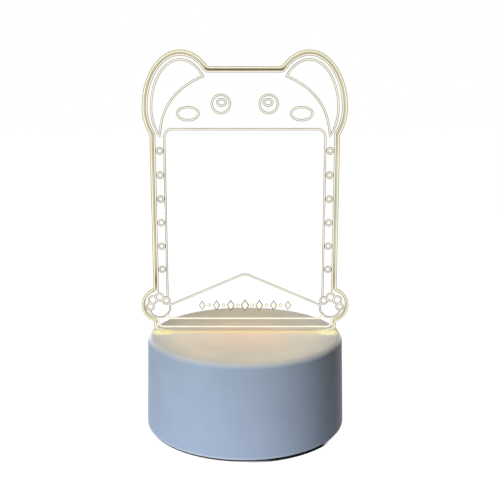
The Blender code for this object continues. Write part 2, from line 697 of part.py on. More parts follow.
def base_housing():
    rim_centre = (wall_radius(BASE_HEIGHT - RIM_RADIUS) - RIM_RADIUS, BASE_HEIGHT - RIM_RADIUS)
    edge_centre = (HOUSING_RADIUS - LOWER_EDGE_RADIUS, HOUSING_BOTTOM + LOWER_EDGE_RADIUS)
    rim = arc(rim_centre, RIM_RADIUS, RIM_RADIUS, 90, 0, 6)
    edge = arc(edge_centre, LOWER_EDGE_RADIUS, LOWER_EDGE_RADIUS, 0, -90, 3)
    profile = [(0, BASE_HEIGHT), *rim, *edge, (0, HOUSING_BOTTOM)]
    housing = place("base_housing", turned_mesh("base_housing", profile, HOUSING_SEGMENTS), "white_abs")
    cut(housing, housing_cavity())
    low = (-SLOT_HALF_LENGTH, -SLOT_HALF_WIDTH, CEILING - CUT_OVERRUN)
    high = (SLOT_HALF_LENGTH, SLOT_HALF_WIDTH, BASE_HEIGHT + CUT_OVERRUN)
    cut(housing, box("panel_slot", low, high))
    bearing = HOUSING_BOTTOM + COUNTERBORE_DEPTH - SEAT_GAP
    for number, at in enumerate(cover_places(), 1):
        radius = COVER_SCREW["shank_radius"] + SEAT_GAP
        top = pilot_end(COVER_SCREW, bearing)
        cut(housing, upright_rod(f"cover_pilot_{number}", radius, COVER_TOP, top, at, HOLE_SEGMENTS))
    for number, at in enumerate(HOLDER_SCREW_PLACES, 1):
        radius = HOLDER_SCREW["shank_radius"] + SEAT_GAP
        top = pilot_end(HOLDER_SCREW, LUG_BOTTOM - SEAT_GAP)
        cut(housing, upright_rod(f"holder_pilot_{number}", radius, LUG_TOP, top, at, HOLE_SEGMENTS))
    pocket = rectangle(POCKET_WIDTH / 2, POCKET_HEIGHT / 2, POCKET_CORNER)
    rear = HOUSING_RADIUS + CUT_OVERRUN
    cut(housing, rear_cutter("rear_pocket", pocket, POCKET_FLOOR, rear, (0, POCKET_MIDDLE)))
    half_height = USB_HEIGHT / 2 + SEAT_GAP
    mouth = rectangle(USB_WIDTH / 2 + SEAT_GAP, half_height, half_height)
    front, rear = PORT_INNER - CUT_OVERRUN, POCKET_FLOOR + CUT_OVERRUN
    cut(housing, rear_cutter("usb_opening", mouth, front, rear, (USB_X, PORT_HEIGHT)))
    radius = BUTTON_RADIUS + SEAT_GAP
    bore = ring((0, 0), radius, radius, BUTTON_SEGMENTS)
    cut(housing, rear_cutter("button_bore", bore, front, rear, (BUTTON_X, BUTTON_HEIGHT)))


def screw(name, sizes, at, outer_face, rotation=(0, 0, 0)):
    """A pan head screw whose head's outer face is at a height. It points up unless it is turned."""
    head, height = sizes["head_radius"], sizes["head_height"]
    shank, length = sizes["shank_radius"], sizes["length"]
    chamfer = height * SCREW_CHAMFER_SHARE
    profile = [
        (0, height + length),
        (shank, height + length * (1 - SCREW_TIP_SHARE)),
        (shank, height),
        (head, height),
        (head, chamfer),
        (head - chamfer, 0),
        (0, 0),
    ]
    mesh = turned_mesh(name, profile, SCREW_SEGMENTS)
    place(name, mesh, "steel", location=(*at, outer_face), rotation=rotation)


def bottom_cover():
    radius = cavity_radius(COVER_TOP) - SEAT_GAP
    cover = upright_rod(
        "bottom_cover", radius, HOUSING_BOTTOM, COVER_TOP, segments=HOUSING_SEGMENTS, material="white_abs"
    )
    for number, at in enumerate(STANDOFF_PLACES, 1):
        middle = (HOUSING_BOTTOM + COVER_TOP) / 2
        top = COVER_TOP + STANDOFF_HEIGHT
        cut(cover, upright_rod(f"standoff_{number}", STANDOFF_RADIUS, middle, top, at), "UNION")
        radius = BOARD_SCREW["shank_radius"] + SEAT_GAP
        low = BOARD_SEAT - BOARD_SCREW["length"] - PILOT_SPARE
        top += CUT_OVERRUN
        cut(cover, upright_rod(f"standoff_pilot_{number}", radius, low, top, at, HOLE_SEGMENTS))
        outer_face = BOARD_SEAT + BOARD_SCREW["head_height"]
        screw(f"board_screw_{number}", BOARD_SCREW, at, outer_face, UPSIDE_DOWN)
    low, bore_top = HOUSING_BOTTOM - CUT_OVERRUN, HOUSING_BOTTOM + COUNTERBORE_DEPTH
    for number, at in enumerate(cover_places(), 1):
        radius = COVER_SCREW["head_radius"] + SEAT_GAP
        cut(cover, upright_rod(f"counterbore_{number}", radius, low, bore_top, at))
        radius, top = COVER_SCREW["shank_radius"] + SEAT_GAP, COVER_TOP + CUT_OVERRUN
        cut(cover, upright_rod(f"cover_hole_{number}", radius, low, top, at, HOLE_SEGMENTS))
        screw(f"cover_screw_{number}", COVER_SCREW, at, bore_top - SEAT_GAP - COVER_SCREW["head_height"])


def base_pad():
    """The rubber ring under the housing's lower edge and the cover's margin."""
    radius = HOUSING_RADIUS - PAD_INSET
    pad = upright_rod("base_pad", radius, 0, PAD_THICKNESS, segments=HOUSING_SEGMENTS, material="rubber")
    low, high = -CUT_OVERRUN, PAD_THICKNESS + CUT_OVERRUN
    cut(pad, upright_rod("pad_opening", radius - PAD_WIDTH, low, high, segments=HOUSING_SEGMENTS))


def panel_holder():
    """A channel with a ledge under each end of the tab, and a lug for each screw."""
    half, top = SLOT_HALF_LENGTH, CEILING - SEAT_GAP
    low, high = (-half, -HOLDER_SIDE, HOLDER_BOTTOM), (half, HOLDER_SIDE, top)
    holder = box("panel_holder", low, high, material="white_abs")
    past = half + CUT_OVERRUN
    ledge = PANEL_FOOT - SEAT_GAP
    low, high = (-past, -SLOT_HALF_WIDTH, ledge), (past, SLOT_HALF_WIDTH, top + CUT_OVERRUN)
    cut(holder, box("holder_channel", low, high))
    trench = LED_BAR_HALF + SEAT_GAP
    low, high = (-trench, -SLOT_HALF_WIDTH, HOLDER_FLOOR_TOP), (trench, SLOT_HALF_WIDTH, ledge + CUT_OVERRUN)
    cut(holder, box("holder_trench", low, high))
    for number, at in enumerate(HOLDER_SCREW_PLACES, 1):
        reach = HOLDER_SCREW_Y + LUG_HALF_WIDTH
        inside = HOLDER_SIDE - HOLDER_WALL / 2
        span = (inside, reach) if at[1] > 0 else (-reach, -inside)
        low = (at[0] - LUG_HALF_WIDTH, span[0], LUG_BOTTOM)
        high = (at[0] + LUG_HALF_WIDTH, span[1], LUG_TOP)
        cut(holder, box(f"lug_{number}", low, high), "UNION")
        radius = HOLDER_SCREW["shank_radius"] + SEAT_GAP
        low, high = LUG_BOTTOM - CUT_OVERRUN, LUG_TOP + CUT_OVERRUN
        cut(holder, upright_rod(f"lug_hole_{number}", radius, low, high, at, HOLE_SEGMENTS))
        outer_face = LUG_BOTTOM - SEAT_GAP - HOLDER_SCREW["head_height"]
        screw(f"holder_screw_{number}", HOLDER_SCREW, at, outer_face)
    radius = WIRE_RADIUS + SEAT_GAP
    low, high = HOLDER_BOTTOM - CUT_OVERRUN, HOLDER_FLOOR_TOP + CUT_OVERRUN
    for number, wire_x in enumerate(wire_ends(), 1):
        cut(holder, upright_rod(f"wire_hole_{number}", radius, low, high, (wire_x, 0), HOLE_SEGMENTS))


def led_bar():
    half_width = SLOT_HALF_WIDTH - SEAT_GAP
    low = (-LED_BAR_HALF, -half_width, LED_BOARD_BOTTOM)
    box("led_bar", low, (LED_BAR_HALF, half_width, LED_BOARD_TOP), material="circuit_board")
    mesh = box_mesh("led", (LED_LENGTH, LED_WIDTH, LED_HEIGHT))
    pitch = 2 * LED_BAR_HALF * LED_PITCH_SHARE
    for number in range(LED_COUNT):
        at = ((number - (LED_COUNT - 1) / 2) * pitch, 0, LED_BOTTOM + LED_HEIGHT / 2)
        soften_edges(place(f"led_{number + 1}", mesh, "led", location=at), COMPONENT_BEVEL)


def control_board():
    low, high = (-BOARD_HALF, BOARD_FRONT, BOARD_BOTTOM), (BOARD_HALF, BOARD_REAR, BOARD_TOP)
    board = box("control_board", low, high, material="circuit_board")
    for number, at in enumerate(STANDOFF_PLACES, 1):
        radius = BOARD_SCREW["shank_radius"] + SEAT_GAP
        bottom, top = BOARD_BOTTOM - CUT_OVERRUN, BOARD_TOP + CUT_OVERRUN
        cut(board, upright_rod(f"board_hole_{number}", radius, bottom, top, at, HOLE_SEGMENTS))
    mesh = box_mesh("resistor", (RESISTOR_LENGTH, RESISTOR_WIDTH, RESISTOR_HEIGHT))
    y, z = BOARD_FRONT + BOARD_DEPTH * RESISTOR_Y_SHARE, BOARD_SEAT + RESISTOR_HEIGHT / 2
    for number, x_share in enumerate(RESISTOR_X_SHARES, 1):
        at = (BOARD_HALF * x_share, y, z)
        soften_edges(place(f"resistor_{number}", mesh, "black_plastic", location=at), COMPONENT_BEVEL)


def usb_socket():
    """A flattened metal tube, closed behind, round an insulator with a tongue."""
    shell_mesh = slab_mesh("usb_shell", rectangle(USB_WIDTH / 2, USB_HEIGHT / 2, USB_HEIGHT / 2), USB_LENGTH)
    middle = (USB_X, (USB_BACK + USB_MOUTH) / 2, PORT_HEIGHT)
    shell = place("usb_shell", shell_mesh, "steel", location=middle, rotation=FACING_FRONT)
    bore_half, bore_rise = USB_WIDTH / 2 - USB_SKIN, USB_HEIGHT / 2 - USB_SKIN
    bore = rectangle(bore_half, bore_rise, bore_rise)
    back, rear = USB_BACK + USB_SKIN, USB_MOUTH + CUT_OVERRUN
    cut(shell, rear_cutter("usb_bore", bore, back, rear, (USB_X, PORT_HEIGHT)))
    half, rise = bore_half - SEAT_GAP, bore_rise - SEAT_GAP
    block_back = back + SEAT_GAP
    block_rear = block_back + USB_BLOCK_LENGTH
    block_mesh = slab_mesh("usb_insulator", rectangle(half, rise, rise), USB_BLOCK_LENGTH)
    middle = (USB_X, (block_back + block_rear) / 2, PORT_HEIGHT)
    block = place("usb_insulator", block_mesh, "black_plastic", location=middle, rotation=FACING_FRONT)
    half, rise = USB_TONGUE_WIDTH / 2, USB_TONGUE_THICKNESS / 2
    low = (USB_X - half, block_rear - USB_BLOCK_LENGTH / 2, PORT_HEIGHT - rise)
    high = (USB_X + half, block_rear + USB_TONGUE_LENGTH, PORT_HEIGHT + rise)
    cut(block, box("usb_tongue", low, high), "UNION")


def switch_and_button():
    low = (BUTTON_X - SWITCH_SIZE / 2, SWITCH_REAR - SWITCH_SIZE, BOARD_SEAT)
    high = (BUTTON_X + SWITCH_SIZE / 2, SWITCH_REAR, BOARD_SEAT + SWITCH_SIZE)
    body = box("switch_body", low, high, material="black_plastic")
    radius = PLUNGER_RADIUS + SEAT_GAP
    bore = ring((0, 0), radius, radius, PLUNGER_SEGMENTS)
    front, rear = PLUNGER_FRONT - BUTTON_TRAVEL - SEAT_GAP, SWITCH_REAR + CUT_OVERRUN
    cut(body, rear_cutter("plunger_bore", bore, front, rear, (BUTTON_X, BUTTON_HEIGHT)))
    length = BUTTON_BACK - SEAT_GAP - PLUNGER_FRONT
    mesh = rod_mesh("switch_plunger", PLUNGER_RADIUS, length, PLUNGER_SEGMENTS)
    middle = (0, -SEAT_GAP - length / 2, 0)
    place("switch_plunger", mesh, "white_abs", parent=BUTTON_SLIDE, location=middle, rotation=FACING_REAR)
    end = POCKET_FLOOR + BUTTON_PROUD - BUTTON_BACK
    flange = BUTTON_RADIUS + BUTTON_FLANGE
    profile = [
        (0, end),
        (BUTTON_RADIUS - BUTTON_EDGE, end),
        (BUTTON_RADIUS, end - BUTTON_EDGE),
        (BUTTON_RADIUS, BUTTON_FLANGE),
        (flange, BUTTON_FLANGE),
        (flange, 0),
        (0, 0),
    ]
    mesh = turned_mesh("power_button", profile, BUTTON_SEGMENTS)
    place("power_button", mesh, "white_abs", parent=BUTTON_SLIDE, rotation=FACING_REAR)


def wire_ends():
    end = LED_BAR_HALF * WIRE_END_SHARE
    return (end, end - WIRE_PITCH)


def wires():
    """Two sleeved wires: up off the board, across under the holder and up through its floor."""
    start_x = BOARD_HALF * WIRE_START_X_SHARE
    start_y = BOARD_FRONT + BOARD_DEPTH * WIRE_START_Y_SHARE
    run = HOLDER_BOTTOM - WIRE_RUN_DROP
    names = ("wire_positive", "wire_negative")
    starts = (start_x, start_x - WIRE_PITCH)
    for name, first, last, sleeve in zip(names, starts, wire_ends(), ("red_sleeve", "black_sleeve")):
        route = [(first, start_y, BOARD_SEAT), (first, start_y, BOARD_SEAT + WIRE_RISE)]
        route += [(first + (last - first) * share, start_y * (1 - share), run) for share in WIRE_RUN_SHARES]
        route += [(last, 0, z) for z in (run + WIRE_TURN, HOLDER_BOTTOM, HOLDER_FLOOR_TOP)]
        place(name, tube_mesh(name, smooth_path(route, WIRE_STEPS), WIRE_RADIUS, 2), sleeve)


base_housing()
bottom_cover()
base_pad()
panel_holder()
led_bar()
control_board()
usb_socket()
switch_and_button()
wires()
acrylic_panel()
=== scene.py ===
import bmesh
import bpy
import numpy as np
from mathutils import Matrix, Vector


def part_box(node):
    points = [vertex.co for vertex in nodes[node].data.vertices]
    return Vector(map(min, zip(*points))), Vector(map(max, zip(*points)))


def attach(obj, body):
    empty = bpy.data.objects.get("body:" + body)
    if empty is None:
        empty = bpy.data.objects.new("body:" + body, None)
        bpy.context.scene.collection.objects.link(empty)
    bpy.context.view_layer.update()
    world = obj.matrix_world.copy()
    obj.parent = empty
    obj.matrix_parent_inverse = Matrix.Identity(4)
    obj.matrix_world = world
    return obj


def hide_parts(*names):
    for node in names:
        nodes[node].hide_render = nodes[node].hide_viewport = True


# An engraved clear panel, lit from below, that stands in the slot of a round plastic base.
# Metres, Z up, the writing side faces -Y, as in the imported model.

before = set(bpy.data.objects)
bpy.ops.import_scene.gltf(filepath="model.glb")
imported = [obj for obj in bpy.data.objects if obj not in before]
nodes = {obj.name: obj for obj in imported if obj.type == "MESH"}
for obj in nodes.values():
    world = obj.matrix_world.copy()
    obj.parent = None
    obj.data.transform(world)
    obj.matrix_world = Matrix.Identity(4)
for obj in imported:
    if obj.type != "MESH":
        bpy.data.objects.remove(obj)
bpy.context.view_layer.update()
print("frame loaded:", len(nodes), "CAD nodes")


# small tools


def toLinear(hexColour):
    # sRGB to linear: below 0.04045 a division by 12.92, above it the 2.4 power curve
    value = np.array([int(hexColour[i : i + 2], 16) for i in (1, 3, 5)]) / 255
    linear = np.where(value <= 0.04045, value / 12.92, ((value + 0.055) / 1.055) ** 2.4)
    return (*linear.tolist(), 1.0)


def feed(tree, node, inputs):
    # Inputs by name, or listed in the order of the sockets. Each is a node, whose first output is linked,
    # a socket, a hex colour or a plain value.
    for key, value in inputs.items() if isinstance(inputs, dict) else enumerate(inputs):
        if isinstance(value, bpy.types.Node):
            value = value.outputs[0]
        if isinstance(value, bpy.types.NodeSocket):
            tree.links.new(value, node.inputs[key])
        else:
            node.inputs[key].default_value = toLinear(value) if isinstance(value, str) else value


def addNode(tree, kind, inputs=None, stops=None, **settings):
    # one node with its settings, its inputs and, if it is a ramp, its colour stops
    node = tree.nodes.new("ShaderNode" + kind)
    for key, value in settings.items():
        setattr(node, key, value)
    feed(tree, node, inputs or {})
    if stops:
        elements = node.color_ramp.elements
        while len(elements) < len(stops):
            elements.new(1.0)
        for element, (place, colour) in zip(elements, stops):
            element.position = place
            element.color = toLinear(colour)
    return node


def newMaterial(name, **inputs):
    # a Principled material; every input given here is a plain number or colour on its own socket
    material = bpy.data.materials.new(name)
    material.use_nodes = True
    tree = material.node_tree
    shader = tree.nodes["Principled BSDF"]
    feed(tree, shader, {key.replace("_", " "): value for key, value in inputs.items()})
    return material, tree, shader


def product(tree, *factors):
    # all the factors multiplied, such as masks that all have to be 1
    result = factors[0]
    for factor in factors[1:]:
        result = addNode(tree, "Math", [result, factor], operation="MULTIPLY")
    return result


def within(tree, value, centre, half):
    # 1 where the value lies within a half width of a centre, 0 elsewhere
    away = addNode(tree, "Math", [value, centre], operation="SUBTRACT")
    away = addNode(tree, "Math", [away], operation="ABSOLUTE")
    return addNode(tree, "Math", [away, half], operation="LESS_THAN")


def coated(tree, base, *coats, how="MIX"):
    # each coat is a mask and a colour, laid over what is below it where the mask is 1
    for mask, colour in coats:
        layer = addNode(tree, "Mix", {"Factor": mask, 6: base, 7: colour}, data_type="RGBA", blend_type=how)
        base = layer.outputs[2]
    return base


def planDistance(tree, place, point):
    # level distance to the nearest of a point's four mirror images
    folded = addNode(tree, "VectorMath", [place], operation="ABSOLUTE")
    flat = addNode(tree, "VectorMath", [folded, (1.0, 1.0, 0.0)], operation="MULTIPLY")
    return addNode(tree, "VectorMath", [flat, point], operation="DISTANCE").outputs["Value"]


def dress(names, material):
    for name in names:
        node = nodes[name]
        if not node.material_slots:
            node.data.materials.append(material)
        for place in node.material_slots:
            place.material = material


def linked(name, data):
    item = bpy.data.objects.new(name, data)
    bpy.context.scene.collection.objects.link(item)
    return item


def placed(name, mesh, material, body):
    # a mesh with its material as one smooth piece that rides on a body
    mesh.polygons.foreach_set("use_smooth", np.ones(len(mesh.polygons), bool))
    mesh.materials.append(material)
    piece = linked(name, mesh)
    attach(piece, body)
    return piece


def newPiece(name, points, faces, material, body, across=None, values=None):
    # points (n, 3), faces as lists of indices, across as one (u, v) per face corner, values as point numbers
    mesh = bpy.data.meshes.new(name)
    mesh.from_pydata(points.tolist(), [], [list(face) for face in faces])
    if across is not None:
        layer = mesh.uv_layers.new(name="across")
        layer.uv.foreach_set("vector", np.asarray(across, np.float32).ravel())
    for key, numbers in (values or {}).items():
        attribute = mesh.attributes.new(key, "FLOAT", "POINT")
        attribute.data.foreach_set("value", np.asarray(numbers, np.float32))
    mesh.validate()
    return placed(name, mesh, material, body)


# plane curves


def arcPoints(centre, halves, start, end, steps):
    # centre + (halfWidth cos a, halfHeight sin a), with a from start to end in degrees; one half makes a circle
    halfWidth, halfHeight = np.broadcast_to(halves, 2)
    angle = np.radians(np.linspace(start, end, steps + 1))
    return np.stack([centre[0] + halfWidth * np.cos(angle), centre[1] + halfHeight * np.sin(angle)], 1)


def eggArc(centre, halfWidth, rise, drop, start, end, steps):
    # the same arc, with its lower half scaled from the rise to the drop
    points = arcPoints(centre, (halfWidth, rise), start, end, steps)
    points[:, 1] += np.minimum(points[:, 1] - centre[1], 0) * (drop / rise - 1)
    return points


def mirrored(points):
    return (np.asarray(points) * (-1, 1))[::-1]


def both(points, closed):
    return [(np.asarray(points), closed), (mirrored(points), closed)]


def ovals(centre, halves, steps):
    # a whole ellipse on each side of the middle
    return both(arcPoints(centre, halves, 0, 360, steps)[:-1], True)


def roundCorners(points, radius, closed=True, steps=4, slightest=25):
    # an arc that touches both sides replaces each corner that turns the slightest angle or more, in degrees:
    # its reach along a side is radius tan(turn / 2), at most half the side
    points = np.asarray(points, float)
    toBefore = np.roll(points, 1, 0) - points
    toAfter = np.roll(points, -1, 0) - points
    back, ahead = (np.arctan2(v[:, 1], v[:, 0]) for v in (toBefore, toAfter))
    between = (ahead - back + np.pi) % (2 * np.pi) - np.pi
    turn = np.pi - np.abs(between)
    room = np.minimum(*(np.linalg.norm(v, axis=1) for v in (toBefore, toAfter))) / 2
    half = np.tan(np.clip(turn / 2, 1e-6, 1.5))
    trueRadius = np.minimum(radius * half, room) / half
    middle = back + between / 2
    away = trueRadius / np.cos(np.clip(turn / 2, 0, 1.5))
    centre = points + away[:, None] * np.stack([np.cos(middle), np.sin(middle)], 1)
    first = middle + np.pi + np.copysign(turn / 2, between)
    angle = first[:, None] - np.copysign(turn, between)[:, None] * np.linspace(0, 1, steps + 1)
    arcs = centre[:, None] + trueRadius[:, None, None] * np.stack([np.cos(angle), np.sin(angle)], 2)
    kept = turn < np.radians(slightest)
    if not closed:
        kept[[0, -1]] = True
    arcs[kept] = points[kept][:, None]
    shown = np.ones(arcs.shape[:2], bool)
    shown[kept, 1:] = False
    return arcs[shown]


def bezier(start, pull, push, end, steps):
    # the cubic curve (1-t)^3 a + 3t(1-t)^2 b + 3t^2(1-t) c + t^3 d, without its ends
    t = np.linspace(0, 1, steps + 1)[1:-1, None]
    start, pull, push, end = (np.asarray(p) for p in (start, pull, push, end))
    return (1 - t) ** 3 * start + 3 * t * (1 - t) ** 2 * pull + 3 * t * t * (1 - t) * push + t**3 * end


def subdivided(points, longest, closed):
    # points added evenly on every side that is longer than this
    points = np.asarray(points, float)
    starts = points if closed else points[:-1]
    ends = np.roll(points, -1, 0) if closed else points[1:]
    counts = np.maximum(np.ceil(np.linalg.norm(ends - starts, axis=1) / longest), 1).astype(int)
    share = np.concatenate([np.arange(n) / n for n in counts])
    dense = np.repeat(starts, counts, 0) + share[:, None] * np.repeat(ends - starts, counts, 0)
    return dense if closed else np.vstack([dense, points[-1:]])


def leftward(points, closed, least=0.7):
    # unit normals to the left of the path, stretched at corners, to 1 / least at most, so that the width stays even
    before, after = np.roll(points, 1, 0), np.roll(points, -1, 0)
    if not closed:
        before[0], after[-1] = 2 * points[0] - points[1], 2 * points[-1] - points[-2]
    into, out = points - before, after - points
    into /= np.linalg.norm(into, axis=1, keepdims=True)
    out /= np.linalg.norm(out, axis=1, keepdims=True)
    normals = [np.stack([-v[:, 1], v[:, 0]], 1) for v in (into, out)]
    mean = normals[0] + normals[1]
    mean /= np.linalg.norm(mean, axis=1, keepdims=True)
    return mean / np.maximum((mean * normals[1]).sum(1, keepdims=True), least)


# surfaces made of rings, where point(i, j) has the number i * count + j


def ringQuads(rows, count, closed=False):
    # the quads between neighbouring rings, with the numbers i, j and j + 1 of each
    i, j = np.meshgrid(np.arange(rows if closed else rows - 1), np.arange(count), indexing="ij")
    nextI, nextJ = (i + 1) % rows, (j + 1) % count
    quads = np.stack([i * count + j, nextI * count + j, nextI * count + nextJ, i * count + nextJ], 2)
    return i, j, nextJ, quads.reshape(-1, 4)


def poleFans(rows, count):
    # triangles from the first and the last ring to a pole each; the poles' numbers follow the rings'
    ring = np.arange(count)
    after, top, pole = (ring + 1) % count, (rows - 1) * count, np.full(count, rows * count)
    return np.vstack([np.stack([pole, ring, after], 1), np.stack([pole + 1, top + after, top + ring], 1)])


def onPanel(flat, depth):
    # from the panel's plane, and the depth behind its front face, to the part's frame
    level = panel["front"] + np.broadcast_to(depth, flat.shape[:-1])
    return np.stack([flat[..., 0], level, panel["foot"] + flat[..., 1]], -1).reshape(-1, 3)


def carried(paths, section, reach=0.0):
    # The section (sideways, depth, v, stretch) is a closed loop, carried along each path in the panel's plane:
    # point(i, j) = path(i) + leftward(i) * (sideways(j) + reach(i) * stretch(j)), at front face + depth(j).
    # u is the length run, v comes from the section.
    points, faces, across, start = [], [], [], 0
    count = len(section)
    for path, closed in paths:
        rows = len(path)
        sideways = section[:, 0] + np.multiply.outer(np.broadcast_to(reach, rows), section[:, 3])
        flat = path[:, None] + leftward(path, closed)[:, None] * sideways[..., None]
        points.append(onPanel(flat, section[None, :, 1]))
        sides = np.diff(np.vstack([path, path[:1]]), axis=0)
        run = np.concatenate([[0], np.cumsum(np.linalg.norm(sides, axis=1))])
        i, j, nextJ, quads = ringQuads(rows, count, closed)
        faces += (quads + start).tolist()
        v, nextV = section[j, 2], section[nextJ, 2]
        corners = [(run[i], v), (run[i + 1], v), (run[i + 1], nextV), (run[i], nextV)]
        across += np.stack([np.stack(c, 2) for c in corners], 2).reshape(-1, 2).tolist()
        if not closed:
            loop = np.arange(count) + start
            faces += [loop.tolist(), (loop[::-1] + (rows - 1) * count).tolist()]
            across += [(run[0], v) for v in section[:, 2]] + [(run[rows - 1], v) for v in section[::-1, 2]]
        start += rows * count
    return np.vstack(points), faces, across


# materials: each comment says what the real one is and what it gives the eye

noiseRange = (0.3, 0.7)
acrylic = {
    "cloudScale": 45.0,
    "tints": ("#fdfffe", "#ffffff"),
    "waveScale": 80.0, "waveHeight": 0.000004,
    "shadow": (0.93, 0.93, 0.93, 1.0),
    "frosted": "#2a2722",
    "burnScale": 900.0, "burnLevels": (0.94, 1.03),
}


def clearAcrylic():
    # Cast acrylic sheet, 4 mm, laser cut: water clear and mirror smooth, with the faint cloud of wiping and the
    # very slight waviness of a cast sheet. Shadow rays pass, as most light passes the real sheet.
    material, tree, shader = newMaterial(
        "castAcrylic", Base_Color="#ffffff", Transmission_Weight=1.0, IOR=1.49, Roughness=0.0
    )
    place = addNode(tree, "TexCoord").outputs["Object"]
    wipe = addNode(tree, "TexNoise", {"Vector": place, "Scale": acrylic["cloudScale"], "Detail": 3.0})
    tint = addNode(tree, "ValToRGB", [wipe], stops=list(zip(noiseRange, acrylic["tints"])))
    wave = addNode(tree, "TexNoise", {"Vector": place, "Scale": acrylic["waveScale"], "Detail": 1.0})
    bump = addNode(tree, "Bump", {"Height": wave, "Strength": 0.3, "Distance": acrylic["waveHeight"]})
    feed(tree, shader, {"Base Color": tint, "Normal": bump})
    clear = addNode(tree, "BsdfTransparent", {"Color": acrylic["shadow"]})
    shadow = addNode(tree, "LightPath").outputs["Is Shadow Ray"]
    mix = addNode(tree, "MixShader", [shadow, shader, clear])
    feed(tree, tree.nodes["Material Output"], {"Surface": mix})
    return material


def litLine(name, stops, strength, shadeStops=None):
    # Laser-engraved or laser-cut acrylic: a frosted surface that scatters the light inside the sheet. The middle
    # shines, its flanks turn away and are painted brownish as shade, and the burn varies over about a millimetre.
    material, tree, shader = newMaterial(
        name, Base_Color=acrylic["frosted"], Roughness=0.6, Emission_Strength=strength
    )
    across = addNode(tree, "SeparateXYZ", [addNode(tree, "UVMap", uv_map="across")]).outputs["Y"]
    colour = addNode(tree, "ValToRGB", [across], stops=stops)
    if shadeStops:
        shade = addNode(tree, "Attribute", attribute_name="shade").outputs["Fac"]
        colour = coated(tree, colour, (shade, addNode(tree, "ValToRGB", [across], stops=shadeStops)))
    place = addNode(tree, "TexCoord").outputs["Object"]
    burn = addNode(tree, "TexNoise", {"Vector": place, "Scale": acrylic["burnScale"], "Detail": 2.0})
    level = addNode(tree, "MapRange", [burn, *noiseRange, *acrylic["burnLevels"]])
    feed(tree, shader, {"Emission Color": coated(tree, colour, (1.0, level), how="MULTIPLY")})
    return material


# the clear panel, its cut edge and its engraved lines

low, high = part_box("acrylic_panel")
panel = {
    "front": low.y,
    "thickness": high.y - low.y,
    "foot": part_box("base_housing")[1].z,
    "half": high.x - 0.0054,
    "tabHalf": high.x - 0.00865, "tabDepth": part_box("base_housing")[1].z - low.z,
    "head": 0.1152,
    "earTop": high.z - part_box("base_housing")[1].z, "earHalfWidth": 0.0165, "earOverhang": 0.0030,
    "earRise": 0.0240, "earDrop": 0.0190,
    "pawRadius": 0.00805, "pawHeight": 0.01255,
    "palmDrop": 0.00085,
    "shoulderRadius": 0.0029, "shoulderGap": 0.0003,
    "fillet": 0.0014,
}
earCentre = np.array(
    [panel["half"] + panel["earOverhang"] - panel["earHalfWidth"], panel["earTop"] - panel["earRise"]]
)
pawCentre = np.array([high.x - panel["pawRadius"], panel["pawHeight"]])
palmCentre = pawCentre - (0, panel["palmDrop"])


def panelSide(inset, steps):
    # the ear from the head's top line round to the straight side, an inset inside the cut edge
    rise = panel["earRise"] - inset
    above = panel["earTop"] - panel["head"]
    head = 180 - np.degrees(np.arcsin((rise - above) / rise))
    halfWidth = panel["earHalfWidth"] - inset
    side = -np.degrees(np.arccos((panel["half"] - inset - earCentre[0]) / halfWidth))
    return eggArc(earCentre, halfWidth, rise, panel["earDrop"] - inset, head, side, steps)


def panelOutline():
    # ear, straight side, paw, round shoulder and tab, then the same mirrored
    radius = panel["pawRadius"]
    upper = np.degrees(np.arccos((panel["half"] - pawCentre[0]) / radius))
    paw = arcPoints(pawCentre, radius, upper, -upper, 28)
    radius, gap = panel["shoulderRadius"], panel["shoulderGap"]
    shoulder = arcPoints((panel["half"] - radius, gap + radius), radius, 0, -90, 8)
    tab = [(panel["tabHalf"], gap), (panel["tabHalf"], -panel["tabDepth"])]
    right = np.vstack([panelSide(0, 40), paw, shoulder, tab])
    return roundCorners(np.vstack([right, mirrored(right)]), panel["fillet"])


dress(["acrylic_panel"], clearAcrylic())

# The cut edge: a band of light just under the sheet's skin, round its whole outline. Its outer edge carries a
# painted brownish shade, and its inner side a painted olive reflection where the edge throws its own image back:
# deep along the head, some above and round the paws, and pale elsewhere. Pairs named left and right hold for the
# two sides of the panel, and heights are above its foot.
cut = {
    "skin": 0.00003,
    "chamfer": 0.0005,
    "width": 0.00100,
    "shell": 0.00005,
    "longest": 0.003,
    "border": "#938d73",
    "glow": "#fffad2",
    "inner": "#c8c2a0",
    "olive": "#574a0c",
    "strength": 1.05,
    "stops": (0.0, 0.45, 0.47, 0.575, 0.61, 0.76, 0.82, 1.0),
    "shade": 0.00038,
    "headShade": 0.00036, "headFade": 0.0012, "headHalf": 0.02, "headFrom": 0.1,
    "abovePaw": (0.0245, 0.0035), "abovePawLeftRight": (0.75, 0.4),
    "paw": (0.003, 0.019), "pawFade": 0.003, "pawShare": 0.3,
    "plain": 0.16,
    "wave": 0.1, "waveLength": 0.0048, "waveLeftRight": (3.5, 2.1),
    "footFrom": 0.002, "footFade": 0.004,
}


def edgeSection():
    # A channel with its mouth inwards: front flange, chamfer, wall, chamfer, back flange, then back inside it.
    # v is 0 to 0.5 on the wall, 0.5 to 0.8 on the lit flange and 1 at its inner end, which stretches.
    e, c, w, t = cut["skin"], cut["chamfer"], cut["width"], cut["shell"]
    deep = panel["thickness"]
    half = [(w, e, 1.0, 1), (0.79 * w, e, 0.8, 0), (c + e / 2, e, 0.62, 0)]
    half += [(e + e / 2, c, 0.5, 0), (e, 1.2 * c, 0.48, 0)]
    outside = np.array(half + [(e, deep / 2, 0.0, 0)] + [(x, deep - d, v, s) for x, d, v, s in half[::-1]])
    inside = outside.copy()
    inside[:, 0] = np.maximum(outside[:, 0], e + t)
    inside[:, 1] = np.clip(outside[:, 1], e + t, deep - e - t)
    loop = np.vstack([outside, inside[::-1]])
    loop[:, [0, 3]] *= -1
    return loop


def edgeStops(inner):
    glow, border, inner = (cut[key] for key in ("glow", "border", inner))
    return list(zip(cut["stops"], (glow, glow, border, border, glow, glow, inner, inner)))


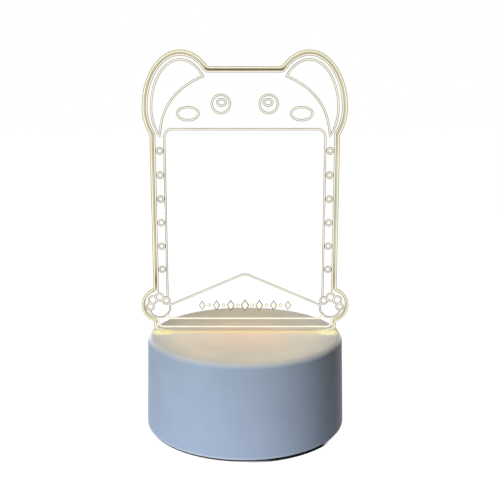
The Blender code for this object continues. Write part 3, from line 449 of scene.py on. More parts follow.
def edgeShades(x, z):
    # how dark the inner side is at each point of the outline, 0 to 1, and how far inwards it reaches
    left = x < 0
    onHead = np.clip(1 - (z - panel["head"]) / cut["headFade"], 0, 1)
    onHead = onHead * (np.abs(x) < cut["headHalf"]) * (z > cut["headFrom"])
    height, spread = cut["abovePaw"]
    abovePaw = np.where(left, *cut["abovePawLeftRight"]) * np.exp(-(((z - height) / spread) ** 2))
    low, high = cut["paw"]
    fade = cut["pawFade"]
    onPaw = cut["pawShare"] * np.clip((z - low) / fade, 0, 1) * np.clip((high - z) / fade, 0, 1)
    phase = z / cut["waveLength"] + np.where(left, *cut["waveLeftRight"])
    elsewhere = cut["plain"] + cut["wave"] * np.sin(phase)
    above = np.clip((z - cut["footFrom"]) / cut["footFade"], 0, 1)
    dark = np.clip(np.maximum(onHead, above * elsewhere + abovePaw + onPaw), 0, 1)
    return dark, cut["shade"] * above + cut["headShade"] * np.maximum(onHead, abovePaw)


edgeMaterial = litLine("laserCutAcrylicEdge", edgeStops("inner"), cut["strength"], edgeStops("olive"))
outline = subdivided(panelOutline(), cut["longest"], True)
dark, reach = edgeShades(outline[:, 0], outline[:, 1])
section = edgeSection()
points, faces, across = carried([(outline, True)], section, reach)
shades = {"shade": np.repeat(dark, len(section))}
newPiece("cut_edge_light", points, faces, edgeMaterial, "panel", across, shades)
print("cut edge:", len(faces), "faces")

# The engraved lines: each is a slim rod of light that fills its groove and ends under the skin. Its flanks carry
# painted shade, darker in places, most on the outer side of the writing area's border. The cores are shares of
# the line's width.
groove = {
    "halfWidth": 0.00049, "halfDepth": 0.00027,
    "skin": 0.00004,
    "longest": 0.004,
    "core": "#fffae8",
    # border, deep and footBorder: the flanks' painted shade, deep where darker, paler at the foot
    "border": "#8b8366",
    "deep": "#4d4528",
    "strength": 1.04,
    "coreShares": (0.26, 0.74),
    "deepCoreShares": (0.28, 0.66),
    "footBorder": "#d2c6a8", "footStrength": 1.08, "footCoreShares": (0.22, 0.78),
    "footDeepCoreShares": (0.22, 0.74),
    "coreEdge": 0.05,
    "wave": 0.2, "waveLengths": (0.0031, 0.0047), "wavePhase": 1.3,
    "borderHalf": 0.0008, "borderFrom": 0.02, "borderTo": 0.09, "borderFade": 0.02,
    "borderLeftRight": (0.55, 0.3),
}

# Where the lines run: heights are above the panel's foot or as named, angles in degrees round palm or ear.
plan = {
    "contourInset": 0.0020, "contourAbovePaw": 0.0055, "contourFoot": 0.0029, "contourCorner": 0.0024,
    "borderInset": 0.0062, "borderBelowHead": 0.0258, "borderAbovePaw": 0.0041, "borderCorner": 0.0032,
    "footHeight": 0.0067, "footTurn": 0.0017, "footJoint": 230,
    "flapHeight": 0.0270, "flapCorner": 0.0045, "flapJoint": 167,
    "palmRadius": 0.0046, "palmEnds": (152, 342),
    "toeShares": ((0.515, -0.075, 0.18), (0.379, 0.304, 0.21), (0.006, 0.466, 0.205), (-0.360, 0.280, 0.185)),
    "eyeShare": 0.249, "eyeBelowHead": 0.01535, "eyeRadius": 0.0038,
    "pupilShift": (-0.00025, 0.00065), "pupilHalves": (0.00175, 0.00135),
    "cheekShare": 0.594, "cheekBelowHead": 0.01935, "cheekHalves": (0.0045, 0.0027),
    "innerEarInset": 0.0040, "innerEarDrop": 0.0170, "innerEarEnds": (138.5, -43.0),
    "innerEarShares": ((0.677, 0.0), (0.255, 0.398)),
    "dotCount": 6, "dotFrom": 0.02885, "dotBelowBorder": 0.0091, "dotRadius": 0.0012,
}
contourX = panel["half"] - plan["contourInset"]
borderX = panel["half"] - plan["borderInset"]
borderTop = panel["head"] - plan["borderBelowHead"]


def rodSection(steps=16):
    # an ellipse (halfWidth sin a, middle - halfDepth cos a); v is its place across the line, 0 to 1
    angle = np.linspace(0, 2 * np.pi, steps, endpoint=False)
    sideways = groove["halfWidth"] * np.sin(angle)
    depth = groove["skin"] + groove["halfDepth"] * (1 - np.cos(angle))
    return np.stack([sideways, depth, 0.5 + 0.5 * np.sin(angle), 0 * angle], 1)


def lineStops(border, shares):
    (first, last), core, edge = shares, groove["core"], groove["coreEdge"]
    stops = [(0.0, border), (first, border), (first + edge, core)]
    return stops + [(last - edge, core), (last, border), (1.0, border)]


def palmPoint(angle):
    return arcPoints(palmCentre, plan["palmRadius"], angle, angle, 1)[0]


def frameLines():
    # contour, its foot, the writing area's border, the inner foot and the flap's two slopes
    stop = (contourX, pawCentre[1] + plan["contourAbovePaw"])
    side = np.vstack([panelSide(plan["contourInset"], 36), [stop]])
    sag = np.sqrt(plan["palmRadius"] ** 2 - (contourX - palmCentre[0]) ** 2)
    foot = [(contourX, plan["contourFoot"]), (contourX, palmCentre[1] - sag)]
    border = [(borderX, borderTop), (borderX, pawCentre[1] + plan["borderAbovePaw"])]
    corners = (panel["fillet"], plan["contourCorner"], plan["borderCorner"])
    lines = [
        roundCorners(np.vstack([mirrored(path), path]), radius, closed=False)
        for path, radius in zip((side, foot, border), corners)
    ]
    joint = palmPoint(plan["footJoint"])
    inner = [(joint[0] - plan["footTurn"], plan["footHeight"]), joint]
    joint = palmPoint(plan["flapJoint"])
    flap = [joint * (-1, 1), (0, plan["flapHeight"]), joint]
    lines.append(np.vstack([mirrored(inner), inner]))
    lines.append(roundCorners(flap, plan["flapCorner"], closed=False, steps=8))
    return [(path, False) for path in lines]


def faceLines():
    eye = np.array([panel["half"] * plan["eyeShare"], panel["head"] - plan["eyeBelowHead"]])
    cheek = (panel["half"] * plan["cheekShare"], panel["head"] - plan["cheekBelowHead"])
    lines = ovals(eye, plan["eyeRadius"], 36)
    lines += ovals(eye + plan["pupilShift"], plan["pupilHalves"], 28)
    lines += ovals(cheek, plan["cheekHalves"], 36)
    size = np.array([panel["earHalfWidth"], panel["earRise"]]) - plan["innerEarInset"]
    outer = eggArc(earCentre, *size, plan["innerEarDrop"], *plan["innerEarEnds"], 34)
    pulls = [earCentre + size * share for share in plan["innerEarShares"]]
    return lines + both(np.vstack([outer, bezier(outer[-1], *pulls, outer[0], 18)]), True)


def pawLines():
    lines = both(arcPoints(palmCentre, plan["palmRadius"], *plan["palmEnds"], 28), False)
    for sideways, upward, radius in plan["toeShares"]:
        toe = pawCentre + panel["pawRadius"] * np.array([sideways, upward])
        radius *= panel["pawRadius"]
        lines += ovals(toe, radius, 24)
    return lines


def dotLines():
    lines = []
    for height in np.linspace(plan["dotFrom"], borderTop - plan["dotBelowBorder"], plan["dotCount"]):
        lines += ovals(((contourX + borderX) / 2, height), plan["dotRadius"], 24)
    return lines


def lineShades(x, z, least):
    # how dark the flanks are, 0 to 1: a slow wave everywhere, and more along the border's sides
    alongX, alongZ = groove["waveLengths"]
    shade = least + groove["wave"] * np.sin(x / alongX + groove["wavePhase"]) * np.cos(z / alongZ)
    onBorder = (np.abs(np.abs(x) - borderX) < groove["borderHalf"]) & (z > groove["borderFrom"])
    fade = np.clip((groove["borderTo"] - z) / groove["borderFade"], 0, 1)
    shade += onBorder * np.where(x < 0, *groove["borderLeftRight"]) * fade
    return np.clip(shade, 0, 1)


lineMaterial = litLine(
    "laserEngravedAcrylic",
    lineStops(groove["border"], groove["coreShares"]),
    groove["strength"],
    lineStops(groove["deep"], groove["deepCoreShares"]),
)
footMaterial = litLine(
    "laserEngravedAcrylicAtFoot",
    lineStops(groove["footBorder"], groove["footCoreShares"]),
    groove["footStrength"],
    lineStops(groove["border"], groove["footDeepCoreShares"]),
)
contour, foot, border, innerFoot, flap = frameLines()
for name, lines, material, least in (
    ("engraved_frame", [contour, border, flap], lineMaterial, 0.25),
    ("engraved_foot", [foot, innerFoot], footMaterial, 0.2),
    ("engraved_face", faceLines(), lineMaterial, 0.3),
    ("engraved_paws", pawLines(), lineMaterial, 0.85),
    ("engraved_dots", dotLines(), lineMaterial, 0.7),
):
    lines = [(subdivided(path, groove["longest"], closed), closed) for path, closed in lines]
    points, faces, across = carried(lines, rodSection())
    shades = {"shade": lineShades(points[:, 0], points[:, 2] - panel["foot"], least)}
    newPiece(name, points, faces, material, "panel", across, shades)
    print(name + ":", len(lines), "lines,", len(faces), "faces")

# The ornament: lozenges and dots of light in the engraved pockets between the paws.
stones = {
    "height": 0.0126,
    "pitch": 0.0063,
    "count": 7,
    "halfWidth": 0.0018, "halfHeight": 0.0027,
    "taper": 0.08,
    "dot": 0.0007,
    "margin": 0.00012,
    "pocket": 0.0004,
    "deep": 0.0003,
    "skin": 0.00004,
    "coreTo": 0.68,
    "deepFrom": 0.80,
}


def pebbles(centres, halves, powers, rings=6, around=24):
    # A flat stone each: point(r, a) = centre + r * rim(a), rim on a superellipse |x|^p + |y|^p = 1,
    # front depth = skin + pocket * r^4, back depth = pocket + deep * (1 - r^2 / 2). v runs from rim to middle.
    points, faces, across, start = [], [], [], 0
    radii = np.linspace(0, 1, rings + 1)[1:]
    angle = np.linspace(0, 2 * np.pi, around, endpoint=False)
    cosine, sine = np.cos(angle), np.sin(angle)
    front = stones["skin"] + stones["pocket"] * radii**4
    back = stones["pocket"] + stones["deep"] * (1 - radii[:-1] ** 2 / 2)
    shares = np.concatenate([radii, radii[:-1][::-1]])
    depth = np.concatenate([front, back[::-1]])
    poleDepths = (stones["skin"], stones["pocket"] + stones["deep"])
    rows, count = len(shares), len(angle)
    i, _, _, quads = ringQuads(rows, count)
    fans = poleFans(rows, count)
    corner = np.stack([shares[i], shares[i + 1], shares[i + 1], shares[i]], 2).reshape(-1)
    v = np.concatenate([corner, np.tile([0, shares[0], shares[0]], 2 * count)])
    for centre, half, power in zip(centres, halves, powers):
        reach = (np.abs(cosine) ** power + np.abs(sine) ** power) ** (-1 / power)
        rim = np.stack([reach * cosine * half[0], reach * sine * half[1]], 1)
        flat = np.asarray(centre) + shares[:, None, None] * rim
        points += [onPanel(flat, depth[:, None]), onPanel(np.tile(centre, (2, 1)), poleDepths)]
        faces += (quads + start).tolist() + (fans + start).tolist()
        across += np.stack([np.zeros(len(v)), v], 1).tolist()
        start += rows * count + 2
    return np.vstack(points), faces, across


middle = (stones["count"] - 1) / 2
steps = np.arange(stones["count"])
sizes = 1 - stones["taper"] * np.abs(steps - middle)
margin = stones["margin"]
centres = [((n - middle) * stones["pitch"], stones["height"]) for n in steps]
halves = [(stones["halfWidth"] * s + margin, stones["halfHeight"] * s + margin) for s in sizes]
dots = [((n - middle + 0.5) * stones["pitch"], stones["height"]) for n in steps[:-1]]
dotHalves = [(stones["dot"] + margin,) * 2] * len(dots)
powers = [1.0] * len(centres) + [2.0] * len(dots)
points, faces, across = pebbles(centres + dots, halves + dotHalves, powers)
# the rims are painted darker and brownish as shade
pebbleStops = [(0.0, "core"), (stones["coreTo"], "core"), (stones["deepFrom"], "deep"), (1.0, "border")]
pebbleMaterial = litLine(
    "laserEngravedPocket", [(place, groove[key]) for place, key in pebbleStops], groove["strength"]
)
newPiece("engraved_ornament", points, faces, pebbleMaterial, "panel", across)
print("ornament:", len(faces), "faces")


# the base


def surface(name, tones, patch, grain, rough, height, **inputs):
    # Two close tones in patches of one size, and a finer grain that unsettles the sheen and the light on it.
    # A skin, in the pieces' values, is these: tones, patch, grain, roughness from and to, and grain height.
    material, tree, shader = newMaterial(name, **inputs)
    place = addNode(tree, "TexCoord").outputs["Object"]
    cloud = addNode(tree, "TexNoise", {"Vector": place, "Scale": 1 / patch, "Detail": 2.0})
    tone = addNode(tree, "ValToRGB", [cloud], stops=list(zip(noiseRange, tones)))
    fine = addNode(tree, "TexNoise", {"Vector": place, "Scale": 1 / grain, "Detail": 2.0})
    bump = addNode(tree, "Bump", {"Height": fine, "Strength": 0.5, "Distance": height})
    sheen = addNode(tree, "MapRange", [fine, 0.0, 1.0, *rough])
    feed(tree, shader, {"Base Color": tone, "Normal": bump, "Roughness": sheen})
    return material, tree, shader, {"place": place, "cloud": cloud, "tone": tone}


# The housing is ABS moulded in a spark-eroded tool: matt, with a fine even grain and faint flow marks. The lamp
# behind its slot shines through it and onto its top, painted in as a glow: peach beside the slot, greyer outwards,
# lemon at the slot's ends.
housing = {
    "skin": (("#b8c2d1", "#bfc8d6"), 0.016, 0.00031, (0.40, 0.54), 0.00001),
    "specular": 0.05,
    "shade": (0.004, 0.037, (1.04, 1.04, 1.04, 1.0), (0.90, 0.905, 0.86, 1.0)),
    "lowerEdge": (0.0022, 0.0014, "#e9eef4"),
    "oval": (1.1, 0.9, 0.0),
    "reach": (0.0023, 0.0440),
    "front": [
        (0.0, "#b48022"), (0.22, "#ad8144"), (0.4, "#a58247"),
        (0.56, "#9c8150"), (0.72, "#9d8659"), (1.0, "#7c6f59"),
    ],
    "rear": 0.70,
    "seam": 0.002,
    "uneven": (0.93, 1.07),
    "topLightTints": ("#fffaf2", "#ece2d3"),
    "lit": (0.0392, 0.0410),
    "slotHalf": 0.00236, "slotLength": 0.0377, "slotFloor": 0.037, "slotWallShade": "#6f6250", "slotGlow": "#dcc590",
    "end": (0.0370, 0.0, 0.0), "endReach": (0.0085, 0.001), "endGlow": "#fff08a",
}


def litHousing():
    material, tree, shader, parts = surface(
        "mouldedPaleAbs", *housing["skin"],
        IOR=1.5, Specular_IOR_Level=housing["specular"], Emission_Strength=1.0,
    )
    x, y, z = addNode(tree, "SeparateXYZ", [parts["place"]]).outputs
    onTop = addNode(tree, "MapRange", [z, *housing["lit"]])
    seam = [y, -housing["seam"], housing["seam"]]
    atRear = addNode(tree, "MapRange", seam)
    behind = addNode(tree, "MapRange", [*seam, 1.0, housing["rear"]])
    inSlot = product(
        tree,
        within(tree, y, 0.0, housing["slotHalf"]),
        within(tree, x, 0.0, housing["slotLength"]),
        addNode(tree, "Math", [z, housing["slotFloor"]], operation="GREATER_THAN"),
    )

    # painted shade: the wall is a little brighter near its foot and darker towards its top
    *span, below, above = housing["shade"]
    rise = addNode(tree, "MapRange", [z, *span])
    tone = coated(tree, parts["tone"], (1.0, coated(tree, below, (rise, above))), how="MULTIPLY")
    # painted highlight: a paler band on the rounded lower edge, where the floor's light catches it
    *span, pale = housing["lowerEdge"]
    lowerEdgeHighlight = addNode(tree, "MapRange", [z, *span])
    tone = coated(tree, tone, (lowerEdgeHighlight, pale))
    # painted light and shade: the top is tinted warm by the lamp's light, and darker and warmer behind the panel
    front, rear = housing["topLightTints"]
    tone = coated(tree, tone, (onTop, coated(tree, front, (atRear, rear))), how="MULTIPLY")
    # painted shade: the slot's walls are darker
    tone = coated(tree, tone, (inSlot, housing["slotWallShade"]))

    oval = addNode(tree, "VectorMath", [parts["place"], housing["oval"]], operation="MULTIPLY")
    away = addNode(tree, "VectorMath", [oval], operation="LENGTH").outputs["Value"]
    spread = addNode(tree, "MapRange", [away, *housing["reach"]])
    warm = addNode(tree, "ValToRGB", [spread], stops=housing["front"])
    uneven = addNode(tree, "MapRange", [parts["cloud"], *noiseRange, *housing["uneven"]])
    warm = coated(tree, warm, (1.0, product(tree, onTop, behind, uneven)), how="MULTIPLY")
    toEnd = planDistance(tree, parts["place"], housing["end"])
    end = addNode(tree, "MapRange", [toEnd, *housing["endReach"]])
    lit = addNode(tree, "Math", [onTop, inSlot], operation="MAXIMUM")
    bright = product(tree, end, end, lit)
    glow = coated(tree, warm, (inSlot, housing["slotGlow"]), (bright, housing["endGlow"]))
    feed(tree, shader, {"Base Color": tone, "Emission Color": glow})
    return material


def smoothCopy(name, node, material, body, sharpest=32, weld=0.000002):
    # A merged copy of a CAD node: edges under the sharpest angle shade smooth, and flat faces stay flat.
    mesh = nodes[node].data.copy()
    mesh.name = name
    shape = bmesh.new()
    shape.from_mesh(mesh)
    bmesh.ops.remove_doubles(shape, verts=shape.verts, dist=weld)
    shape.to_mesh(mesh)
    shape.free()
    if mesh.attributes.get("custom_normal"):
        mesh.attributes.remove(mesh.attributes["custom_normal"])
    mesh.materials.clear()
    piece = placed(name, mesh, material, body)
    mesh.set_sharp_from_angle(angle=float(np.radians(sharpest)))
    piece.modifiers.new("evenShading", "WEIGHTED_NORMAL").keep_sharp = True
    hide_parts(node)


smoothCopy("base_shell", "base_housing", litHousing(), "base")
print("housing dressed")

# The pieces inside and under the base, by the real material's name and its skin.
whiteSkin = (("#d9dce0", "#e3e6e9"), 0.009, 0.00028, (0.40, 0.55), 0.00001)
finishes = {
    "whiteAbs": ("mouldedWhiteAbs", *whiteSkin, {"IOR": 1.5}),
    "rubber": ("mouldedRubber", ("#1c1c1e", "#29292b"), 0.003, 0.00022, (0.68, 0.88), 0.00002, {"IOR": 1.52}),
    "nickel": ("nickelPlatedSteel", ("#b4b0a7", "#c9c5bb"), 0.0025, 0.00012, (0.20, 0.36), 0.000003, {"Metallic": 1.0}),
    "zinc": ("zincPlatedSteel", ("#9ea4ab", "#bcc1c6"), 0.0012, 0.00010, (0.26, 0.44), 0.000003, {"Metallic": 1.0}),
    "gold": ("goldPlatedContact", ("#d9a63c", "#e8bd58"), 0.0012, 0.00010, (0.18, 0.30), 0.000002, {"Metallic": 1.0}),
    "polymer": ("glassFilledPolymer", ("#131315", "#1f1f22"), 0.0018, 0.00013, (0.42, 0.60), 0.000006, {"IOR": 1.55}),
    "redPvc": ("redPvcSleeve", ("#9c1013", "#b51b1c"), 0.0020, 0.00018, (0.28, 0.42), 0.000004, {"IOR": 1.53}),
    "blackPvc": ("blackPvcSleeve", ("#121214", "#1c1c1f"), 0.0020, 0.00018, (0.28, 0.42), 0.000004, {"IOR": 1.53}),
}
materials = {key: surface(*values, **inputs)[0] for key, (*values, inputs) in finishes.items()}

# The holder is the same white ABS; its channel is lit by the lamps, most near its floor.
low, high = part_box("panel_holder")
holder = {"glow": "#ffd890", "strength": 0.8, "half": 0.00236, "lit": 0.003, "under": 0.0015, "least": 0.25}
lit = low.z + holder["lit"]
material, tree, shader, parts = surface(
    "lampLitWhiteAbs", *whiteSkin, IOR=1.5, Emission_Strength=holder["strength"]
)
x, y, z = addNode(tree, "SeparateXYZ", [parts["place"]]).outputs
rise = addNode(tree, "MapRange", [z, high.z, lit, holder["least"]])
above = addNode(tree, "Math", [z, lit - holder["under"]], operation="GREATER_THAN")
inside = product(tree, rise, within(tree, y, 0.0, holder["half"]), above)
feed(tree, shader, {"Emission Color": coated(tree, "#000000", (inside, holder["glow"]))})
dress(["panel_holder"], material)

# A lamp: a white moulded body with a window of yellow phosphor that glows, and a tinned terminal at each end.
low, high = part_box("led_bar")
ledLow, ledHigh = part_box("led_5")
lamps = {
    "skin": (("#e6e4dd", "#f2f0ea"), 0.0008, 0.00008, (0.3, 0.5), 0.000003),
    "pitch": ledLow.x + ledHigh.x,
    "window": (0.00122, 0.00098), "windowDepth": 0.00005,
    "terminal": 0.00152,
    "phosphor": ("#f2c23a", "#ffe27a"),
    "glow": "#ffe3a0",
    "strength": 3.0,
    "tin": "#c4c6c8",
}


def lampPlaces(tree, place):
    # x from the middle of the nearest lamp: (fract(x / pitch) - 1/2) * pitch
    x, y, z = addNode(tree, "SeparateXYZ", [place]).outputs
    share = addNode(tree, "Math", [x, lamps["pitch"]], operation="DIVIDE")
    share = addNode(tree, "Math", [share], operation="FRACT")
    share = addNode(tree, "Math", [share, 0.5], operation="SUBTRACT")
    return product(tree, share, lamps["pitch"]), y, z


material, tree, shader, parts = surface(
    "phosphorLamp", *lamps["skin"], IOR=1.5, Emission_Strength=lamps["strength"]
)
aside, y, z = lampPlaces(tree, parts["place"])
window = product(
    tree,
    within(tree, aside, 0.0, lamps["window"][0]),
    within(tree, y, 0.0, lamps["window"][1]),
    addNode(tree, "Math", [z, ledHigh.z - lamps["windowDepth"]], operation="GREATER_THAN"),
)
phosphor = addNode(tree, "ValToRGB", [parts["cloud"]], stops=list(zip(noiseRange, lamps["phosphor"])))
terminal = within(tree, aside, 0.0, lamps["terminal"])
terminal = addNode(tree, "Math", [1.0, terminal], operation="SUBTRACT")
colour = coated(tree, parts["tone"], (terminal, lamps["tin"]), (window, phosphor))
glow = coated(tree, "#000000", (window, lamps["glow"]))
feed(tree, shader, {"Base Color": colour, "Metallic": terminal, "Emission Color": glow})
dress([name for name in nodes if name.startswith("led_") and name != "led_bar"], material)

# The lamp bar: white solder mask over two copper rails, with tinned pads beside each lamp and a fibreglass edge.
bar = {
    "skin": (("#e9e9e4", "#f4f4f0"), 0.002, 0.0002, (0.28, 0.42), 0.000003),
    "rail": "#dcdacb", "railPlace": 0.00168, "railHalf": 0.00014,
    "edge": "#b9a56a",
    "faceDepth": 0.0001,
    "pad": 0.00196, "padHalf": (0.0003, 0.0011),
}
material, tree, shader, parts = surface("whiteSolderMask", *bar["skin"], IOR=1.55)
aside, y, z = lampPlaces(tree, parts["place"])
aside, beside = (addNode(tree, "Math", [value], operation="ABSOLUTE") for value in (aside, y))
face = within(tree, z, high.z, bar["faceDepth"])
rail = within(tree, beside, bar["railPlace"], bar["railHalf"])
pad = product(
    tree, within(tree, aside, bar["pad"], bar["padHalf"][0]), within(tree, y, 0.0, bar["padHalf"][1]), face
)
colour = coated(tree, parts["tone"], (rail, bar["rail"]))
colour = coated(tree, bar["edge"], (face, colour), (pad, lamps["tin"]))
feed(tree, shader, {"Base Color": colour, "Metallic": pad})
dress(["led_bar"], material)

# The control board: green solder mask over copper tracks, a tinned ring round each screw hole, a fibreglass edge.
# The tracks run one way or the other in regions of about 4 mm, and some regions have none.
low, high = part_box("control_board")
holeLow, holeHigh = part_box("board_screw_1")
board = {
    "skin": (("#14532f", "#1b6238"), 0.003, 0.0002, (0.22, 0.36), 0.000003),
    "track": "#2c7d49",
    "pitch": 0.00127,
    "trackHalf": 0.00017,
    "regionScale": 230.0,
    "bare": 0.3,
    "edge": "#a8975a",
    "faceDepth": 0.00005,
    "tin": "#c9cacb",
    "hole": ((holeLow.x + holeHigh.x) / 2, (holeLow.y + holeHigh.y) / 2, 0.0),
    "ring": 0.0022,
}
material, tree, shader, parts = surface("greenSolderMask", *board["skin"], IOR=1.55)
x, y, z = addNode(tree, "SeparateXYZ", [parts["place"]]).outputs
tracks = []
for value in (x, y):
    share = addNode(tree, "Math", [value, board["pitch"]], operation="DIVIDE")
    share = addNode(tree, "Math", [share], operation="FRACT")
    tracks.append(within(tree, share, 0.5, board["trackHalf"] / board["pitch"]))
regions = addNode(tree, "TexVoronoi", {"Vector": parts["place"], "Scale": board["regionScale"]}).outputs["Color"]
way, used, _ = addNode(tree, "SeparateXYZ", [regions]).outputs
way = addNode(tree, "Math", [way, 0.5], operation="GREATER_THAN")
used = addNode(tree, "Math", [used, board["bare"]], operation="GREATER_THAN")
track = product(tree, addNode(tree, "Mix", {"Factor": way, 2: tracks[0], 3: tracks[1]}), used)
toHole = planDistance(tree, parts["place"], board["hole"])
ring = addNode(tree, "Math", [toHole, board["ring"]], operation="LESS_THAN")
side = within(tree, z, (low.z + high.z) / 2, (high.z - low.z) / 2 - board["faceDepth"])
colour = coated(tree, parts["tone"], (track, board["track"]), (ring, board["tin"]), (side, board["edge"]))
face = addNode(tree, "Math", [1.0, side], operation="SUBTRACT")
feed(tree, shader, {"Base Color": colour, "Metallic": product(tree, ring, face)})
dress(["control_board"], material)

# A resistor: a black glazed ceramic chip with a tinned cap at each end.
low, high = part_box("resistor_2")
chip = {
    "skin": (("#17181b", "#232529"), 0.0007, 0.00006, (0.25, 0.4), 0.000003),
    "middle": (low.x + high.x) / 2,
    "body": 0.00115,
}
material, tree, shader, parts = surface("glazedChip", *chip["skin"], IOR=1.6)
x, y, z = addNode(tree, "SeparateXYZ", [parts["place"]]).outputs
aside = addNode(tree, "Math", [x], operation="ABSOLUTE")
body = within(tree, aside, chip["middle"], chip["body"])
cap = addNode(tree, "Math", [1.0, body], operation="SUBTRACT")
feed(tree, shader, {"Base Color": coated(tree, parts["tone"], (cap, lamps["tin"])), "Metallic": cap})
dress(["resistor_1", "resistor_2"], material)

for name, node, finish, body, slot in (
    ("cover_plate", "bottom_cover", "whiteAbs", "base", "base_abs"),
    ("foot_ring", "base_pad", "rubber", "base", "rubber"),
    ("button_cap", "power_button", "whiteAbs", "button", "base_abs"),
    ("button_plunger", "switch_plunger", "whiteAbs", "button", "base_abs"),
    ("socket_shell", "usb_shell", "nickel", "base", "steel"),
    ("socket_insulator", "usb_insulator", "polymer", "base", "black_plastic"),
    ("switch_case", "switch_body", "polymer", "base", "black_plastic"),
    ("red_wire", "wire_positive", "redPvc", "base", "red_sleeve"),
    ("black_wire", "wire_negative", "blackPvc", "base", "black_sleeve"),
):
    smoothCopy(name, node, materials[finish], body)
print("inner pieces dressed")

# Cross-recess screws with a rolled thread, each in the place of its plain CAD screw. The form's numbers are shares:
# the chamfer and the recess of the head's height, the recess's plan of its radius, the valley of the shank.
screwKinds = {
    "cover_screw": {"count": 4, "shank": 0.0010, "head": 0.0010, "pitch": 0.00085, "up": True},
    "holder_screw": {"count": 2, "shank": 0.0009, "head": 0.0010, "pitch": 0.0008, "up": True},
    "board_screw": {"count": 2, "shank": 0.0007, "head": 0.0009, "pitch": 0.0006, "up": False},
}
screwForm = {
    "around": 56,
    "faceRings": 14, "faceTo": 0.9,
    "chamfer": 0.35,
    "recess": 0.6, "recessHalf": 0.17, "recessArm": 0.62, "recessWall": 0.4, "recessEnd": 0.3,
    "shoulder": 0.8,
    "valley": 0.74,
    "tip": 0.18,
    "threadFrom": 0.02, "threadTo": 0.985,
    "ringsPerTurn": 9,
    "sharpAngle": 35,
}
screwTurn = np.linspace(0, 2 * np.pi, screwForm["around"], endpoint=False)


def screwRings(radius, height, kind):
    # Face: depth(x, y) = recess * head * ramp((w - min(|x|, |y|)) / wall w) * ramp((arm - max(|x|, |y|)) / end arm).
    # Thread: radius(z, a) = shank * (valley + (1 - valley) ramp(2 tri(z / pitch - a / 2 pi) - 0.5)), tri from
    # 0 to 1, then a cone.
    head, shank, form = kind["head"], kind["shank"], screwForm
    slope = form["chamfer"] * head
    radii = np.linspace(0, form["faceTo"], form["faceRings"])[1:]
    radii = np.append(radii, 1.0)[:, None] * (radius - slope)
    x, y = np.abs(radii * np.cos(screwTurn)), np.abs(radii * np.sin(screwTurn))
    small, big = np.minimum(x, y), np.maximum(x, y)
    width, arm = form["recessHalf"] * radius, form["recessArm"] * radius
    wall = np.clip((width - small) / (form["recessWall"] * width), 0, 1)
    depth = form["recess"] * head * wall * np.clip((arm - big) / (form["recessEnd"] * arm), 0, 1)
    rings = [(np.broadcast_to(radii, depth.shape), depth)]
    level = np.ones_like(screwTurn)
    rings.append((np.outer([radius, radius, form["shoulder"] * shank], level), np.outer([slope, head, head], level)))
    length = height - head
    count = int(length / kind["pitch"] * form["ringsPerTurn"])
    z = head + np.linspace(form["threadFrom"], form["threadTo"], count)[:, None] * length
    phase = (z / kind["pitch"] - screwTurn / (2 * np.pi)) % 1
    ridge = np.clip(2 * (1 - 2 * np.abs(phase - 0.5)) - 0.5, 0, 1)
    taper = np.clip((height - z) / (form["tip"] * length), 0, 1)
    thread = shank * (form["valley"] + (1 - form["valley"]) * ridge) * taper
    rings.append((thread, np.broadcast_to(z, phase.shape)))
    return np.vstack([r for r, _ in rings]), np.vstack([h for _, h in rings])


def turned(radii, heights, ends):
    # point(i, j) = (r cos a, r sin a, h), with a pole at each end; the faces look outwards
    rows, count = radii.shape
    rings = np.stack([radii * np.cos(screwTurn), radii * np.sin(screwTurn), heights], 2).reshape(-1, 3)
    quads = ringQuads(rows, count)[-1][:, [0, 3, 2, 1]]
    fans = poleFans(rows, count)[:, [0, 2, 1]]
    return np.vstack([rings, [(0, 0, end) for end in ends]]), quads, fans


for name, kind in screwKinds.items():
    points, faces, start = [], [], 0
    names = [f"{name}_{number + 1}" for number in range(kind["count"])]
    for node in names:
        low, high = (np.array(corner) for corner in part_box(node))
        height, radius = high[2] - low[2], (high[0] - low[0]) / 2
        radii, heights = screwRings(radius, height, kind)
        shape, quads, fans = turned(radii, heights, (screwForm["recess"] * kind["head"], height))
        middle = (low + high) / 2
        flip = np.array([1, 1, 1] if kind["up"] else [1, -1, -1])
        points.append(shape * flip + (middle[0], middle[1], low[2] if kind["up"] else high[2]))
        faces += (quads + start).tolist() + (fans + start).tolist()
        start += len(shape)
    piece = newPiece(name + "s", np.vstack(points), faces, materials["zinc"], "base")
    piece.data.set_sharp_from_angle(angle=float(np.radians(screwForm["sharpAngle"])))
    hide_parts(*names)
    print(name + "s:", len(faces), "faces")

# The socket's contacts: gold strips let into both faces of its tongue, centre + half * (+-1, +-1, +-1).
low, high = (np.array(corner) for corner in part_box("usb_insulator"))
contacts = {
    "count": 12,
    "pitch": 0.0005,
    "half": np.array((0.00013, 0.00175, 0.00003)),
    "proud": 0.000008,
    "tongueHalf": 0.00035,
    "setback": 0.0004,
}
half = contacts["half"]
places = (np.arange(contacts["count"]) - (contacts["count"] - 1) / 2) * contacts["pitch"] + (low[0] + high[0]) / 2
levels = (low[2] + high[2]) / 2 + np.array([-1, 1]) * (contacts["tongueHalf"] + contacts["proud"] - half[2])
grid = np.array([(x, high[1] - contacts["setback"] - half[1], z) for z in levels for x in places])
corner = np.array([(a, b, c) for c in (-1, 1) for b in (-1, 1) for a in (-1, 1)])
boxFaces = np.array([(0, 2, 3, 1), (4, 5, 7, 6), (0, 1, 5, 4), (2, 6, 7, 3), (0, 4, 6, 2), (1, 3, 7, 5)])
points = (grid[:, None] + corner * half).reshape(-1, 3)
faces = (boxFaces + len(corner) * np.arange(len(grid))[:, None, None]).reshape(-1, 4).tolist()
piece = newPiece("socket_contacts", points, faces, materials["gold"], "base")
piece.data.polygons.foreach_set("use_smooth", np.zeros(len(faces), bool))
print("contacts:", len(faces), "faces")

# floor, light and camera

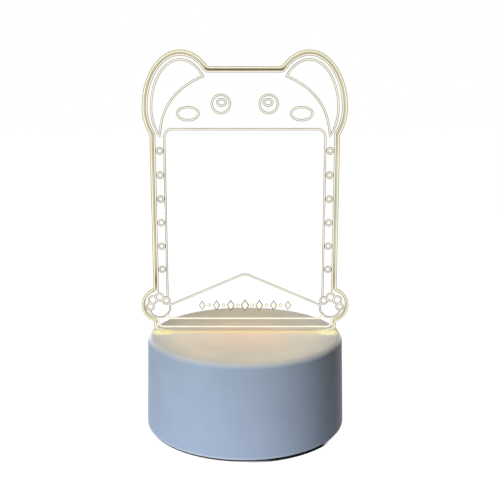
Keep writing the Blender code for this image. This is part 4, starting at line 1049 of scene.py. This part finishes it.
studio = {
    "aim": (0.0, 0.0, 0.06),
    "lights": {
        "key": {"place": (-0.355, -0.615, 0.28), "size": 0.36, "power": 4.93, "colour": "#e2eeff"},
        "top": {"place": (0.0, -0.05, 0.75), "size": 0.35, "power": 0.4, "colour": "#ffe0b0"},
        "back": {"place": (-0.34, 0.58, 0.04), "size": 0.20, "power": 2.2, "colour": "#f2f5ff"},
        "side": {"place": (0.32, 0.54, 0.02), "size": 0.14, "power": 1.2, "colour": "#f2f5ff"},
    },
    "ambient": ("#ffffff", 0.092),
    "floor": "#8c8c8c", "floorHalf": 3,
    "contact": 0.0020, "contactSpan": (0.62, 0.50), "contactRise": (0.0, 0.011, 0.1),
    "contactFade": (0.0362, 0.0328),
}
for name, values in studio["lights"].items():
    light = bpy.data.lights.new(name + "Light", "AREA")
    light.energy, light.size = values["power"], values["size"]
    light.color = toLinear(values["colour"])[:3]
    lamp = linked(name + "Light", light)
    lamp.visible_camera = lamp.visible_transmission = False
    lamp.location = values["place"]
    along, ahead, up = np.array(studio["aim"]) - np.array(values["place"])
    tilt, turn = np.arctan2(np.hypot(along, ahead), -up), np.arctan2(-along, ahead)
    lamp.rotation_euler = (float(tilt), 0.0, float(turn))


def seenByEye(tree):
    # 1 for the rays that show a surface to the camera: straight, mirrored or through the clear panel
    path = addNode(tree, "LightPath").outputs
    seen = path["Is Camera Ray"]
    for kind in ("Is Glossy Ray", "Is Transmission Ray"):
        seen = addNode(tree, "Math", [seen, path[kind]], operation="MAXIMUM")
    return seen


world = bpy.data.worlds.new("studioWorld")
world.use_nodes = True
tree = world.node_tree
tree.nodes.clear()
colour, strength = studio["ambient"]
dim = addNode(tree, "Background", {"Color": colour, "Strength": strength})
white = addNode(tree, "Background", {"Color": (1, 1, 1, 1), "Strength": 1.0})
mix = addNode(tree, "MixShader", [seenByEye(tree), dim, white])
addNode(tree, "OutputWorld", {"Surface": mix})
bpy.context.scene.world = world

# The floor is plain and pale. A painted contact shadow makes it black only in the thin gap under the base's edge,
# found by how far the base covers the floor: from the middle on towards the side away from the key light, and
# fading out there.
reach = studio["floorHalf"]
corners = [(-reach, -reach, 0), (reach, -reach, 0), (reach, reach, 0), (-reach, reach, 0)]
floorMesh = bpy.data.meshes.new("floor")
floorMesh.from_pydata(corners, [], [(0, 1, 2, 3)])
material, tree, shader = newMaterial(
    "paleFloor", Base_Color=studio["floor"], Roughness=1.0, Specular_IOR_Level=0.0, Emission_Color="#ffffff"
)
openness = addNode(tree, "AmbientOcclusion", {"Distance": studio["contact"]}, samples=32).outputs["AO"]
nearness = addNode(tree, "MapRange", [openness, *studio["contactSpan"]])
eastward = addNode(tree, "SeparateXYZ", [addNode(tree, "TexCoord").outputs["Object"]]).outputs["X"]
rise = addNode(tree, "MapRange", [eastward, *studio["contactRise"]])
fade = addNode(tree, "MapRange", [eastward, *studio["contactFade"]])
contactShadow = product(tree, rise, fade, nearness)
bare = addNode(tree, "Math", [1.0, contactShadow], operation="SUBTRACT")
glow = product(tree, seenByEye(tree), bare)
colour = coated(tree, studio["floor"], (contactShadow, "#000000"))
feed(tree, shader, {"Base Color": colour, "Emission Strength": glow})
floorMesh.materials.append(material)
floor = linked("floor", floorMesh)

view = {"place": (0.00219, -0.3286, 0.1446), "tilt": 78.58, "focalPixels": 767.0, "photoPixels": 500, "sensor": 36.0}
lens = bpy.data.cameras.new("camera")
lens.sensor_width = view["sensor"]
lens.lens = view["focalPixels"] * view["sensor"] / view["photoPixels"]
lens.clip_start = 0.01
camera = linked("camera", lens)
camera.location = view["place"]
camera.rotation_euler = (float(np.radians(view["tilt"])), 0.0, 0.0)
bpy.context.scene.camera = camera
bpy.context.scene.view_settings.view_transform = "Standard"
print("studio ready")
